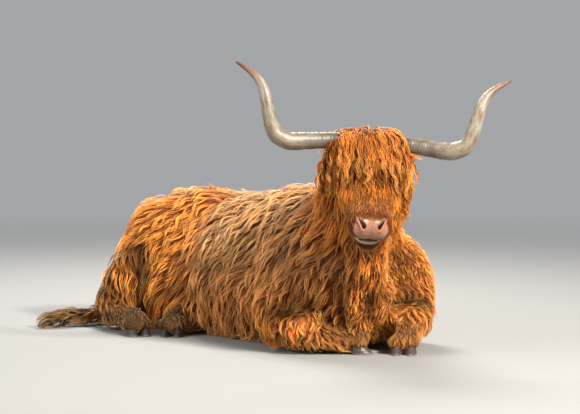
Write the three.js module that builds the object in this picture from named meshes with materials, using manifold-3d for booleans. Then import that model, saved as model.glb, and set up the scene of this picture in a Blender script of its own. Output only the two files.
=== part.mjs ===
// Highland cow, a still life-size model that lies on its brisket and left haunch, head up and to its right.
// Millimetres, +Z up, floor at Z 0. The animal faces -Y and its left side is +X.
// The solids run out to the tips of the coat.
import * as THREE from "three";
import { mergeVertices } from "three/addons/utils/BufferGeometryUtils.js";
import Module from "manifold-3d";

const wasm = await Module();
wasm.setup();

// ---------------------------------------------------------------- driving dimensions
const GAP = 0.4; // clearance between neighbouring solids
const CENTRE = { x: -240.5, y: 13 }; // middle of the footprint, moved to the origin at the end

const WITHERS = 700; // height of the back over the shoulders, lying down
const LOIN = 636; // height of the back in front of the hips
const HOOKS = 648; // height over the hip bones
const BARREL = 385; // half width of the trunk at the belly, coat included

const POLL = [-200, -765, 886]; // between the horns
const HEAD_TURN = 27; // degrees the head is turned to the animal's right
const HEAD_ROLL = 4; // degrees the left side of the head hangs lower
const FACE_SLOPE = 54; // degrees the face axis points below the level

const HORN_RADII = [33, 34, 35, 37, 36, 31, 28, 25, 20, 13, 5];
const EYE_RADIUS = 19.5;
const CLAW = { long: 92, wide: 54, high: 66, gap: 3, toeFlat: 0.28, toeDrop: 9, toeTaper: 0.14 };

// edge length of the surface cells on each kind of part
const CELLS = { trunk: 86, neck: 68, head: 52, muzzle: 29, ear: 26, limb: 62, foot: 42, tail: 50 };

// ---------------------------------------------------------------- materials
function paint(colour, roughness) {
  return new THREE.MeshStandardMaterial({ color: colour, roughness, metalness: 0 });
}
const COAT_BODY = paint(0xa8713a, 0.9);
const COAT_RUMP = paint(0xb9692a, 0.9);
const COAT_HEAD = paint(0xb8622a, 0.9);
const COAT_LIMB = paint(0x8f5a30, 0.9);
const COAT_TAIL = paint(0x70472d, 0.9);
const NOSE_SKIN = paint(0xc58a76, 0.5);
const HORN = paint(0xb9b0a0, 0.45);
const CLAW_HORN = paint(0x4d4442, 0.5);
const EYE = paint(0x1c100a, 0.1);

// ---------------------------------------------------------------- fields
// A field gives the distance outside a shape, less than zero within it.

// Blends two distances over a width, so that shapes flow into each other.
function blend(a, b, width) {
  const h = Math.max(width - Math.abs(a - b), 0) / width;
  return Math.min(a, b) - (h * h * width) / 4;
}

// A chain of oval sections: each has a centre, a half width along `side` and a half depth across it.
function chain(side, ...sections) {
  const spans = sections.slice(1).map((to, i) => {
    const from = sections[i];
    const start = new THREE.Vector3(...from.at);
    const run = new THREE.Vector3(...to.at).sub(start);
    const length = run.length();
    const along = run.clone().normalize();
    const deep = new THREE.Vector3().crossVectors(along, new THREE.Vector3(...side)).normalize();
    const wide = new THREE.Vector3().crossVectors(deep, along);
    return { start, length, along, wide, deep, from, to };
  });
  const point = new THREE.Vector3();
  return (x, y, z) => {
    let nearest = Infinity;
    for (const s of spans) {
      point.set(x, y, z).sub(s.start);
      const run = point.dot(s.along);
      const t = THREE.MathUtils.clamp(run / s.length, 0, 1);
      const halfWide = THREE.MathUtils.lerp(s.from.wide, s.to.wide, t);
      const halfDeep = THREE.MathUtils.lerp(s.from.deep, s.to.deep, t);
      const least = Math.min(halfWide, halfDeep);
      const past = (run - t * s.length) / least;
      const ring = Math.hypot(point.dot(s.wide) / halfWide, point.dot(s.deep) / halfDeep, past);
      nearest = blend(nearest, (ring - 1) * least, 0.5 * least);
    }
    return nearest;
  };
}

// A round limb: a chain whose sections are circles.
function limb(...sections) {
  const side = [0.31, 0.42, 0.85]; // any direction across the limb serves a circle
  return chain(side, ...sections.map(([at, r]) => ({ at, wide: r, deep: r })));
}

function ellipsoid(at, radii) {
  return (x, y, z) => {
    const ring = Math.hypot((x - at[0]) / radii[0], (y - at[1]) / radii[1], (z - at[2]) / radii[2]);
    return (ring - 1) * Math.min(...radii);
  };
}

function join(width, ...fields) {
  return (x, y, z) => fields.reduce((d, field) => blend(d, field(x, y, z), width), Infinity);
}

// ---------------------------------------------------------------- surfaces
const CORNERS = [0, 1, 2, 3, 4, 5, 6, 7].map((i) => [i & 1, (i >> 1) & 1, i >> 2]);
const apart = (a, b) => Math.abs(a[0] - b[0]) + Math.abs(a[1] - b[1]) + Math.abs(a[2] - b[2]);
const EDGES = CORNERS.flatMap((a, i) =>
  CORNERS.map((b, j) => ({ b, j }))
    .filter(({ b, j }) => j > i && apart(a, b) === 1)
    .map(({ j }) => [i, j]),
);

// The closed surface where a field is zero, inside a box, by surface nets with square cells.
function surface(field, box, cell) {
  const low = box[0].map((v) => v - 1.5 * cell);
  const count = [0, 1, 2].map((k) => Math.ceil((box[1][k] + 1.5 * cell - low[k]) / cell) + 1);
  const index = (i, j, k) => i + count[0] * (j + count[1] * k);
  const values = new Float64Array(count[0] * count[1] * count[2]);
  for (let k = 0; k < count[2]; k++)
    for (let j = 0; j < count[1]; j++)
      for (let i = 0; i < count[0]; i++) {
        const atEdge = [i, j, k].some((n, m) => n === 0 || n === count[m] - 1);
        const value = field(low[0] + i * cell, low[1] + j * cell, low[2] + k * cell);
        values[index(i, j, k)] = atEdge ? Math.max(value, cell) : value; // closes what runs out of the box
      }

  const positions = [];
  const vertexOf = new Map();
  const addVertex = (i, j, k) => {
    const at = CORNERS.map(([a, b, c]) => values[index(i + a, j + b, k + c)]);
    const inside = at.filter((v) => v < 0).length;
    if (inside === 0 || inside === 8) return;
    const sum = [0, 0, 0];
    let crossings = 0;
    for (const [a, b] of EDGES) {
      if (at[a] < 0 === at[b] < 0) continue;
      const t = at[a] / (at[a] - at[b]);
      for (let m = 0; m < 3; m++) sum[m] += CORNERS[a][m] + t * (CORNERS[b][m] - CORNERS[a][m]);
      crossings++;
    }
    vertexOf.set(index(i, j, k), positions.length / 3);
    positions.push(...[i, j, k].map((c, m) => low[m] + cell * (c + sum[m] / crossings)));
  };
  for (let k = 0; k < count[2] - 1; k++)
    for (let j = 0; j < count[1] - 1; j++) for (let i = 0; i < count[0] - 1; i++) addVertex(i, j, k);

  settle(positions, field, cell);

  const faces = [];
  const steps = [1, count[0], count[0] * count[1]];
  for (let k = 0; k < count[2] - 1; k++)
    for (let j = 0; j < count[1] - 1; j++)
      for (let i = 0; i < count[0] - 1; i++) {
        const here = index(i, j, k);
        for (let m = 0; m < 3; m++) {
          const isIn = values[here] < 0;
          if (isIn === values[here + steps[m]] < 0) continue;
          const u = steps[(m + 1) % 3];
          const v = steps[(m + 2) % 3];
          const [a, b, c, d] = [here - u - v, here - v, here, here - u].map((q) => vertexOf.get(q));
          faces.push(...(isIn ? [a, b, c, a, c, d] : [a, c, b, a, d, c]));
        }
      }
  const geometry = new THREE.BufferGeometry();
  geometry.setAttribute("position", new THREE.Float32BufferAttribute(positions, 3));
  geometry.setIndex(faces);
  return geometry;
}

// Moves each vertex along the field's slope onto the true surface, by at most a third of a cell.
function settle(positions, field, cell) {
  const h = 1;
  for (let round = 0; round < 3; round++)
    for (let n = 0; n < positions.length; n += 3) {
      const [x, y, z] = positions.slice(n, n + 3);
      const d = field(x, y, z);
      const beside = [field(x + h, y, z), field(x, y + h, z), field(x, y, z + h)];
      const slope = beside.map((value) => (value - d) / h);
      const steep = slope[0] ** 2 + slope[1] ** 2 + slope[2] ** 2 + 1e-6;
      const move = THREE.MathUtils.clamp(d / steep, -cell / 9, cell / 9);
      for (let m = 0; m < 3; m++) positions[n + m] -= move * slope[m];
    }
}

// ---------------------------------------------------------------- solids
function solid(geometry) {
  const bare = geometry.clone();
  for (const name of Object.keys(bare.attributes)) if (name !== "position") bare.deleteAttribute(name);
  const merged = mergeVertices(bare, 1e-3);
  return new wasm.Manifold(
    new wasm.Mesh({
      numProp: 3,
      vertProperties: merged.attributes.position.array,
      triVerts: new Uint32Array(merged.index.array),
    }),
  );
}

function geometryOf(made) {
  const mesh = made.getMesh();
  const geometry = new THREE.BufferGeometry();
  geometry.setAttribute("position", new THREE.BufferAttribute(mesh.vertProperties, 3));
  geometry.setIndex(new THREE.BufferAttribute(mesh.triVerts, 1));
  return geometry;
}

// The biggest piece of a solid, without the slivers that a cut can leave.
function mainPiece(made) {
  return made.decompose().reduce((best, piece) => (piece.volume() > best.volume() ? piece : best));
}

// A closed surface moved outward by the gap, for the room that a neighbour leaves around it.
function swollen(geometry) {
  const grown = mergeVertices(geometry, 1e-3);
  grown.computeVertexNormals();
  const [position, normal] = [grown.attributes.position, grown.attributes.normal];
  const room = 3 * GAP;
  for (let i = 0; i < position.count; i++)
    position.setXYZ(
      i,
      position.getX(i) + room * normal.getX(i),
      position.getY(i) + room * normal.getY(i),
      position.getZ(i) + room * normal.getZ(i),
    );
  return solid(grown);
}

// A block that covers everything on one side of a plane, up to half a gap from it.
const BLOCK = 4000;
function beyond(at, normal, shift = -GAP / 2) {
  const direction = new THREE.Vector3(...normal).normalize();
  const block = new THREE.BoxGeometry(BLOCK, BLOCK, BLOCK).translate(0, 0, BLOCK / 2 + shift);
  block.applyQuaternion(new THREE.Quaternion().setFromUnitVectors(new THREE.Vector3(0, 0, 1), direction));
  return solid(block.translate(...at));
}

// Splits a solid at a plane into [the part beyond it, the part short of it], a gap apart.
function split(made, at, normal) {
  const back = normal.map((v) => -v);
  return [made.subtract(beyond(at, back)), made.subtract(beyond(at, normal))];
}

const FLOOR = beyond([0, 0, 0], [0, 0, -1], 0);
const onFloor = (made) => made.subtract(FLOOR);

// ---------------------------------------------------------------- the trunk
// Cross-sections along the back: distance to the rear, middle line, underside, back's height, half width.
const SECTIONS = [
  { y: -650, x: -95, low: 110, top: 340, half: 70 },
  { y: -590, x: -85, low: 20, top: 470, half: 185 },
  { y: -480, x: -55, low: -60, top: 590, half: 285 },
  { y: -330, x: -35, low: -90, top: WITHERS - 25, half: 335 },
  { y: -150, x: -30, low: -120, top: WITHERS, half: 355 },
  { y: 100, x: -30, low: -120, top: 668, half: BARREL - 8 },
  { y: 300, x: -25, low: -120, top: 645, half: BARREL },
  { y: 480, x: -30, low: -100, top: LOIN - 10, half: 345 },
  { y: 630, x: -60, low: -60, top: HOOKS - 8, half: 300 },
  { y: 780, x: -100, low: 0, top: 612, half: 265 },
  { y: 885, x: -140, low: 90, top: 542, half: 200 },
  { y: 950, x: -160, low: 220, top: 450, half: 75 },
];
const SHAPE_POWER = 2.3; // squareness of a section
const PEAR = 0.26; // how much a section narrows from the belly to the back
const ROUND_END = 60; // how fast the trunk closes past its last sections

// Smooth value of one section property at a distance along the back.
function along(property) {
  const curve = new THREE.CatmullRomCurve3(
    SECTIONS.map((s) => new THREE.Vector3(s.y, s[property], 0)),
    false,
    "centripetal",
  );
  const samples = curve.getPoints(240);
  return (y) => {
    const next = samples.findIndex((p) => p.x >= y);
    if (next < 0) return samples.at(-1).y;
    if (next === 0) return samples[0].y;
    const [a, b] = [samples[next - 1], samples[next]];
    return THREE.MathUtils.lerp(a.y, b.y, (y - a.x) / (b.x - a.x));
  };
}
const middleAt = along("x");
const lowAt = along("low");
const topAt = along("top");
const halfAt = along("half");

function barrel(x, y, z) {
  const [first, last] = [SECTIONS[0].y, SECTIONS.at(-1).y];
  const inside = THREE.MathUtils.clamp(y, first, last);
  const top = topAt(inside);
  const half = halfAt(inside);
  const tall = (top - lowAt(inside)) / 2;
  const up = (z - top + tall) / tall;
  const width = half * (1 - PEAR * THREE.MathUtils.clamp(up, 0, 1));
  const across = Math.abs((x - middleAt(inside)) / width);
  const ring = (across ** SHAPE_POWER + Math.abs(up) ** SHAPE_POWER) ** (1 / SHAPE_POWER);
  const past = Math.abs(y - inside) / ROUND_END;
  return (Math.hypot(ring, past) - 1) * Math.min(half, tall);
}

const trunkField = join(
  90,
  barrel,
  ellipsoid([200, -440, 230], [160, 215, 265]), // left shoulder and upper arm
  ellipsoid([-265, -370, 225], [125, 215, 240]), // right shoulder and upper arm
  ellipsoid([195, 590, 200], [190, 290, 215]), // left haunch, on the floor
  limb([[-140, 660, 500], 130], [[-275, 765, 440], 160], [[-400, 760, 345], 128]), // right hip and thigh
  ellipsoid([-298, 690, 112], [166, 190, 138]), // inner side of the right thigh, on the floor
  ellipsoid([-128, 640, 560], [90, 120, 84]), // right hip bone
);

// ---------------------------------------------------------------- neck and head
const turned = THREE.MathUtils.degToRad(HEAD_TURN);
const headFrame = new THREE.Matrix4()
  .makeTranslation(...POLL)
  .multiply(new THREE.Matrix4().makeRotationZ(-turned))
  .multiply(new THREE.Matrix4().makeRotationY(THREE.MathUtils.degToRad(HEAD_ROLL)));

// A place on the head: to its left, forward, and up from the poll.
function onHead(left, forward, up) {
  return new THREE.Vector3(left, -forward, up).applyMatrix4(headFrame).toArray();
}
function headDirection(left, forward, up) {
  return new THREE.Vector3(left, -forward, up).transformDirection(headFrame).toArray();
}
const ACROSS = headDirection(1, 0, 0);
const slope = THREE.MathUtils.degToRad(FACE_SLOPE);
// A place beside the face axis: to its left, so far down the face, and raised from the axis.
function onFace(left, down, raised) {
  const forward = down * Math.cos(slope) + raised * Math.sin(slope);
  const up = -down * Math.sin(slope) + raised * Math.cos(slope);
  return onHead(left, forward, up);
}

const neckField = join(
  80,
  chain(
    [1, -0.3, 0],
    { at: [-60, -400, 420], wide: 190, deep: 235 },
    { at: [-75, -545, 600], wide: 185, deep: 190 },
    { at: [-150, -680, 770], wide: 150, deep: 140 },
  ),
  // throat and dewlap, down to the floor
  limb(
    [[-190, -770, 540], 92],
    [[-160, -700, 360], 108],
    [[-108, -600, 190], 112],
    [[-95, -560, 110], 100],
  ),
);

const headField = join(
  50,
  chain(
    ACROSS,
    { at: onFace(0, 10, -30), wide: 168, deep: 100 },
    { at: onFace(0, 130, -38), wide: 158, deep: 100 },
    { at: onFace(0, 250, -36), wide: 118, deep: 86 },
    { at: onFace(0, 330, -34), wide: 94, deep: 70 },
  ),
  ellipsoid(onHead(0, -12, 8), [192, 136, 62]), // crest of hair over the poll
  // jaw
  chain(
    ACROSS,
    { at: onFace(0, 120, -110), wide: 92, deep: 62 },
    { at: onFace(0, 270, -92), wide: 70, deep: 48 },
  ),
  // nose
  chain(
    ACROSS,
    { at: onFace(0, 372, -18), wide: 82, deep: 52 },
    { at: onFace(0, 392, -20), wide: 78, deep: 46 },
  ),
  // chin
  chain(
    ACROSS,
    { at: onFace(0, 340, -92), wide: 66, deep: 42 },
    { at: onFace(0, 402, -102), wide: 54, deep: 38 },
  ),
);

const SIDES = { left: 1, right: -1 };
function earField(side) {
  return chain(
    headDirection(0, 1, 0.2),
    { at: onHead(side * 140, -36, -70), wide: 40, deep: 28 },
    { at: onHead(side * 170, -24, -112), wide: 56, deep: 30 },
    { at: onHead(side * 178, -6, -175), wide: 50, deep: 28 },
    { at: onHead(side * 180, 4, -230), wide: 28, deep: 20 },
  );
}

// ---------------------------------------------------------------- horns and eyes
// Centre line of the left horn on the head: out level, round the bend, up and outward to the tip.
const HORN_LINE = [
  [118, 6, 4],
  [181, 10, 0],
  [272, 24, -8],
  [340, 40, -11],
  [393, 50, 15],
  [420, 50, 75],
  [437, 44, 145],
  [458, 34, 204],
  [496, 22, 250],
  [568, 6, 294],
];
const HORN_STEPS = 14;
const HORN_SIDES = 10;

// A closed tube along a curve, its radius read from a list spread evenly over the curve.
function horn(side, grow) {
  const line = HORN_LINE.map(
    ([left, forward, up]) => new THREE.Vector3(...onHead(side * left, forward, up)),
  );
  const curve = new THREE.CatmullRomCurve3(line, false, "centripetal");
  const radii = new THREE.CatmullRomCurve3(
    HORN_RADII.map((r, i) => new THREE.Vector3(i, r, 0)),
    false,
    "centripetal",
  );
  const frames = curve.computeFrenetFrames(HORN_STEPS);
  const positions = [];
  const faces = [];
  for (let i = 0; i <= HORN_STEPS; i++) {
    const t = i / HORN_STEPS;
    const at = curve.getPointAt(t);
    const r = radii.getPoint(t).y + grow;
    for (let k = 0; k < HORN_SIDES; k++) {
      const turn = (2 * Math.PI * k) / HORN_SIDES;
      const out = frames.normals[i].clone().multiplyScalar(Math.cos(turn) * r);
      out.addScaledVector(frames.binormals[i], Math.sin(turn) * r);
      positions.push(...out.add(at).toArray());
    }
  }
  const ends = [curve.getPointAt(0).addScaledVector(frames.tangents[0], -grow), curve.getPointAt(1)];
  ends[1].addScaledVector(frames.tangents[HORN_STEPS], 5);
  ends.forEach((end) => positions.push(...end.toArray()));
  const root = (HORN_STEPS + 1) * HORN_SIDES;
  for (let k = 0; k < HORN_SIDES; k++) {
    const next = (k + 1) % HORN_SIDES;
    for (let i = 0; i < HORN_STEPS; i++) {
      const [a, b] = [i * HORN_SIDES + k, i * HORN_SIDES + next];
      const [c, d] = [b + HORN_SIDES, a + HORN_SIDES];
      faces.push(a, b, c, a, c, d);
    }
    const last = HORN_STEPS * HORN_SIDES;
    faces.push(root, next, k, root + 1, last + k, last + next);
  }
  const geometry = new THREE.BufferGeometry();
  geometry.setAttribute("position", new THREE.Float32BufferAttribute(positions, 3));
  geometry.setIndex(faces);
  return solid(geometry);
}

const EYE_PLACE = [103, 128, 4]; // beside the face axis, down the face, raised from it
const EYE_LOOK = [0.83, 0.5, 0.05];
const EYE_OPENING = 40; // radius of the opening in the coat, at its far end

function eyeball(side, grow) {
  const ball = new THREE.IcosahedronGeometry(EYE_RADIUS + grow, 1);
  return solid(ball.translate(...onFace(side * EYE_PLACE[0], EYE_PLACE[1], EYE_PLACE[2])));
}

// The clear way from the eye out through the coat.
function eyeOpening(side) {
  const length = 120;
  const cone = new THREE.CylinderGeometry(EYE_OPENING, EYE_RADIUS + GAP, length, 16);
  cone.translate(0, length / 2, 0);
  const axis = new THREE.Vector3(0, 1, 0);
  const look = new THREE.Vector3(...headDirection(side * EYE_LOOK[0], EYE_LOOK[1], EYE_LOOK[2]));
  cone.applyQuaternion(new THREE.Quaternion().setFromUnitVectors(axis, look));
  return solid(cone.translate(...onFace(side * EYE_PLACE[0], EYE_PLACE[1], EYE_PLACE[2])));
}

// ---------------------------------------------------------------- limbs and tail
// From the trunk outward: each part gives way to the ones before it.
const LIMBS = [
  {
    name: "foreleg_left_forearm",
    material: COAT_BODY,
    cell: CELLS.limb,
    field: limb([[235, -470, 150], 125], [[130, -620, 140], 92], [[70, -690, 130], 68]),
  },
  {
    name: "foreleg_right_forearm",
    material: COAT_BODY,
    cell: CELLS.limb,
    field: limb([[-330, -290, 150], 120], [[-345, -420, 112], 96], [[-336, -500, 94], 78]),
  },
  {
    name: "hindleg_right_shank",
    material: COAT_RUMP,
    cell: CELLS.limb,
    field: limb([[-420, 750, 320], 122], [[-490, 775, 205], 112], [[-550, 805, 95], 88]),
  },
  {
    name: "foreleg_left_cannon",
    material: COAT_LIMB,
    cell: CELLS.foot,
    field: limb([[62, -700, 112], 60], [[32, -722, 78], 50], [[4, -742, 60], 48]),
  },
  {
    name: "foreleg_right_cannon",
    material: COAT_LIMB,
    cell: CELLS.foot,
    field: limb([[-318, -530, 62], 56], [[-255, -562, 50], 46], [[-186, -600, 46], 44]),
  },
  {
    name: "hindleg_right_foot",
    material: COAT_LIMB,
    cell: CELLS.foot,
    field: limb([[-560, 760, 62], 62], [[-580, 610, 56], 50], [[-592, 520, 66], 60], [[-598, 484, 60], 54]),
  },
  {
    name: "hindleg_left_foot",
    material: COAT_LIMB,
    cell: CELLS.foot,
    field: limb([[-330, 500, 62], 60], [[-420, 415, 60], 56], [[-460, 374, 56], 52]),
  },
  {
    name: "tail_root",
    material: COAT_RUMP,
    cell: CELLS.tail,
    field: limb(
      [[-140, 890, 520], 56],
      [[-180, 985, 420], 58],
      [[-235, 1010, 280], 54],
      [[-300, 990, 160], 48],
    ),
  },
  {
    name: "tail_middle",
    material: COAT_TAIL,
    cell: CELLS.tail,
    field: limb(
      [[-300, 990, 158], 50],
      [[-400, 985, 68], 52],
      [[-500, 955, 52], 50],
      [[-590, 935, 50], 48],
    ),
  },
  {
    name: "tail_brush",
    material: COAT_TAIL,
    cell: CELLS.tail,
    field: limb([[-590, 935, 52], 52], [[-690, 950, 48], 60], [[-770, 945, 40], 50], [[-850, 930, 28], 30]),
  },
];
const TRUNK_BOX = [[-620, -760, -200], [460, 1020, 780]];
const NECK_BOX = [[-400, -980, 0], [240, -200, 1000]];
const HEAD_BOX = [[-520, -1120, 340], [120, -540, 1040]];
const LIMB_BOX = [[-960, -900, -60], [420, 1100, 620]];

// ---------------------------------------------------------------- claws
// Each foot: the middle of its two claws, the way they point, and which of them is the inner one.
const FEET = [
  { name: "foreleg_left", at: [-22, -762, 30], points: [-0.62, -0.78], innerSide: 1 },
  { name: "foreleg_right", at: [-140, -632, 30], points: [0.84, -0.54], innerSide: -1 },
  { name: "hindleg_right", at: [-603, 440, 30], points: [-0.2, -0.98], innerSide: -1 },
  { name: "hindleg_left", at: [-488, 346, 30], points: [-0.66, -0.75], innerSide: 1 },
];

// One claw: a rounded wedge with a flat sole on the floor.
function claw(foot, side, grow) {
  const ball = new THREE.SphereGeometry(1, 8, 6);
  ball.scale(CLAW.wide / 2 + grow, CLAW.long / 2 + grow, CLAW.high / 2 + grow);
  const position = ball.attributes.position;
  for (let i = 0; i < position.count; i++) {
    const toe = THREE.MathUtils.clamp(position.getY(i) / (CLAW.long / 2), -1, 1);
    position.setZ(i, position.getZ(i) * (1 - CLAW.toeFlat * toe) - CLAW.toeDrop * toe);
    position.setX(i, position.getX(i) * (1 - CLAW.toeTaper * toe));
  }
  const [px, py] = foot.points;
  ball.translate(side * (CLAW.wide + CLAW.gap) / 2, 0, 0);
  ball.rotateZ(Math.atan2(-px, py));
  return solid(ball.translate(...foot.at));
}

// ---------------------------------------------------------------- assembly
const cow = new THREE.Group();
function add(name, made, material) {
  const mesh = new THREE.Mesh(geometryOf(mainPiece(made)), material);
  mesh.name = name;
  cow.add(mesh);
}

const taken = []; // what is already placed, swollen by the gap, for later parts to give way to
const giveWay = (made) => taken.reduce((left, other) => left.subtract(other), made);

// Horns, eyes and claws are whole, and the flesh leaves sockets for them.
for (const [name, side] of Object.entries(SIDES)) {
  add(`horn_${name}`, horn(side, 0), HORN);
  add(`eye_${name}`, eyeball(side, 0), EYE);
  taken.push(horn(side, GAP), eyeball(side, GAP), eyeOpening(side));
}

for (const foot of FEET)
  for (const side of [1, -1]) {
    const place = side === foot.innerSide ? "inner" : "outer";
    add(`${foot.name}_claw_${place}`, onFloor(claw(foot, side, 0)), CLAW_HORN);
    taken.push(claw(foot, side, GAP));
  }

// Trunk, neck and head are one flowing shape, parted by thin cuts.
const CUTS = {
  neck: { at: [-85, -520, 560], normal: [-0.2, -0.55, 0.81] },
  nape: { at: onHead(0, -98, 0), normal: headDirection(0, 0.94, 0.34) },
  face: { at: onFace(0, 288, 0), normal: headDirection(0, Math.cos(slope), -Math.sin(slope)) },
  chest: { at: [0, -180, 0], normal: [0, -1, 0] },
  rump: { at: [0, 430, 0], normal: [0, 1, 0] },
};
const parted = (made, cut) => split(made, cut.at, cut.normal);

const headShape = join(45, neckField, headField);
const wholeShape = join(60, trunkField, headShape);

const trunkSurface = surface(join(60, trunkField, neckField), TRUNK_BOX, CELLS.trunk);
const trunk = parted(giveWay(onFloor(solid(trunkSurface))), CUTS.neck)[1];
const [chest, behind] = parted(trunk, CUTS.chest);
const [rump, belly] = parted(behind, CUTS.rump);
add("trunk_chest", chest, COAT_BODY);
add("trunk_belly", belly, COAT_BODY);
add("trunk_rump", rump, COAT_RUMP);

for (const [name, side] of Object.entries(SIDES)) {
  const ear = surface(earField(side), HEAD_BOX, CELLS.ear);
  add(`ear_${name}`, giveWay(solid(ear)), COAT_HEAD);
  taken.push(swollen(ear));
}
const neckSolid = parted(solid(surface(wholeShape, NECK_BOX, CELLS.neck)), CUTS.neck)[0];
add("neck", giveWay(parted(neckSolid, CUTS.nape)[1]), COAT_BODY);
const headSolid = (cell) => parted(solid(surface(headShape, HEAD_BOX, cell)), CUTS.nape)[0];
add("head", giveWay(parted(headSolid(CELLS.head), CUTS.face)[1]), COAT_HEAD);
add("muzzle", giveWay(parted(headSolid(CELLS.muzzle), CUTS.face)[0]), NOSE_SKIN);

// The limbs and the tail give way to the trunk, and each length to the one before it.
taken.push(swollen(trunkSurface));
for (const part of LIMBS) {
  const shape = surface(part.field, LIMB_BOX, part.cell);
  add(part.name, giveWay(onFloor(solid(shape))), part.material);
  taken.push(swollen(shape));
}

cow.position.set(-CENTRE.x, -CENTRE.y, 0);

export default cow;
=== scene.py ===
"""Highland cow, a still life-size model: skin, coat, horns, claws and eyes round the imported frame. Metres."""
import math

import bmesh
import bpy
import numpy as np
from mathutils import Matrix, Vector
from mathutils.bvhtree import BVHTree
from mathutils.kdtree import KDTree


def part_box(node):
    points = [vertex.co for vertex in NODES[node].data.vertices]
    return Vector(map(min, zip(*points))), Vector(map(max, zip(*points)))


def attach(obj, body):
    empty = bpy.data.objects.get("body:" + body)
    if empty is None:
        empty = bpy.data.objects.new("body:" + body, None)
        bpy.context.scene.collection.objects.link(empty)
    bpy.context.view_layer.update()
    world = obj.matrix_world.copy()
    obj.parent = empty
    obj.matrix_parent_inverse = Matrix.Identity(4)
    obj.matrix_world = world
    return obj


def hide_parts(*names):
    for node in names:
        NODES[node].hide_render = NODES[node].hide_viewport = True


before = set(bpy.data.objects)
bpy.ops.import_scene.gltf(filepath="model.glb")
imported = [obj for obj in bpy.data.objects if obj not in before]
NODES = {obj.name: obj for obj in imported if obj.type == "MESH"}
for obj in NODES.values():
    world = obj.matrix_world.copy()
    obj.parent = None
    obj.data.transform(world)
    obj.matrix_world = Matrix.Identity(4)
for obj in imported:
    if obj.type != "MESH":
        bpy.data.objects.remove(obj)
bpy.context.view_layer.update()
rng = np.random.default_rng(11)
SIDES = {"left": 1, "right": -1}
DOWN = np.array([0.0, 0.0, -1.0])

# ---------------------------------------------------------------- places on the animal
SHIFT = np.array([0.2405, -0.013, 0.0])  # from the line the places below are measured from to the row frame
POLL = np.array([-0.200, -0.765, 0.886]) + SHIFT
HEAD_TURN, HEAD_ROLL, FACE_SLOPE = map(math.radians, (27, 4, 54))


def turn_z(a):
    return np.array([[math.cos(a), -math.sin(a), 0], [math.sin(a), math.cos(a), 0], [0, 0, 1]])


def turn_y(a):
    return np.array([[math.cos(a), 0, math.sin(a)], [0, 1, 0], [-math.sin(a), 0, math.cos(a)]])


HEAD = turn_z(-HEAD_TURN) @ turn_y(HEAD_ROLL)


def unit(v):
    return v / np.maximum(np.linalg.norm(v, axis=-1, keepdims=True), 1e-9)


def stack(*parts):
    return np.stack(np.broadcast_arrays(*[np.asarray(p, float) for p in parts]), -1)


def on_head(left, forward, up):
    """Places to the head's left, forward and up from the poll."""
    return POLL + stack(left, -np.asarray(forward), up) @ HEAD.T


def head_way(left, forward, up):
    return unit(stack(left, -np.asarray(forward), up) @ HEAD.T)


def on_face(left, down, out):
    """Places beside the face axis: to its left, so far down the face, and raised from the axis."""
    c, s = math.cos(FACE_SLOPE), math.sin(FACE_SLOPE)
    down, out = np.asarray(down), np.asarray(out)
    return on_head(left, down * c + out * s, -down * s + out * c)


def round_about(start, side, fore, reach, angle, flatness=1.0):
    """Places round the start, at such an angle from the side towards the fore."""
    start = start + side * (reach * np.cos(angle))[..., None]
    return start + fore * (flatness * reach * np.sin(angle))[..., None]


def head_of(points):
    """(left, forward, up) of each place, from the poll."""
    return (points - POLL) @ HEAD * [1, -1, 1]


def face_of(points):
    """(left, down, out) of each place, beside the face axis."""
    q = head_of(points)
    c, s = math.cos(FACE_SLOPE), math.sin(FACE_SLOPE)
    return np.stack([q[:, 0], q[:, 1] * c - q[:, 2] * s, q[:, 1] * s + q[:, 2] * c], -1)


FACE_DOWN = head_way(0, math.cos(FACE_SLOPE), -math.sin(FACE_SLOPE))
FACE_LEFT = head_way(1, 0, 0)


def mm(*places):
    """Places given in millimetres from the middle line, in the row frame."""
    return np.array(places, float) / 1000 + SHIFT


def smooth(x, low, high):
    """0 below low, 1 above high, and an even slope between."""
    t = np.clip((x - low) / (high - low), 0, 1)
    return t * t * (3 - 2 * t)


def between(x, low, low_end, high, high_end):
    """0 below low and above high_end, 1 from low_end to high, and even slopes between."""
    return smooth(x, low, low_end) * (1 - smooth(x, high, high_end))


def bell(distance, width):
    return np.exp(-((distance / width) ** 2))


def waves(points, longest, shortest, count, seed):
    """A slow random value from -1 to 1 over space, the sum of plane waves."""
    r = np.random.default_rng(seed)
    total = np.zeros(len(points))
    for _ in range(count):
        way = unit(r.normal(size=3))
        total += np.sin(points @ way * (2 * np.pi / r.uniform(shortest, longest)) + r.uniform(0, 2 * np.pi))
    return total / math.sqrt(count / 2) * 0.7


# ---------------------------------------------------------------- mesh helpers
def add_object(name, mesh):
    obj = bpy.data.objects.new(name, mesh)
    bpy.context.scene.collection.objects.link(obj)
    return obj


def new_mesh(name, points, faces):
    mesh = bpy.data.meshes.new(name)
    faces = faces.tolist() if isinstance(faces, np.ndarray) else faces
    mesh.from_pydata(np.asarray(points).tolist(), [], faces)
    mesh.shade_smooth()
    return mesh


def make_mesh(name, points, faces):
    return add_object(name, new_mesh(name, points, faces))


def get(items, key, size, kind=np.float32):
    values = np.empty(len(items) * size, kind)
    items.foreach_get(key, values)
    values = values.reshape(-1, size)
    return values.astype(float) if kind == np.float32 else values


def fill(items, key, values, kind=np.float32):
    items.foreach_set(key, values.astype(kind).ravel())


def points_of(mesh):
    return get(mesh.vertices, "co", 3)


def normals_of(mesh):
    return get(mesh.vertex_normals, "vector", 3)


def set_points(mesh, points):
    fill(mesh.vertices, "co", points)
    mesh.update()


def set_tint(mesh, tint):
    layer = mesh.color_attributes.new("tint", "FLOAT_COLOR", "POINT")
    fill(layer.data, "color", np.concatenate([tint, np.ones((len(tint), 1))], 1))


def triangles_of(mesh):
    mesh.calc_loop_triangles()
    return get(mesh.loop_triangles, "vertices", 3, np.int32)


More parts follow.
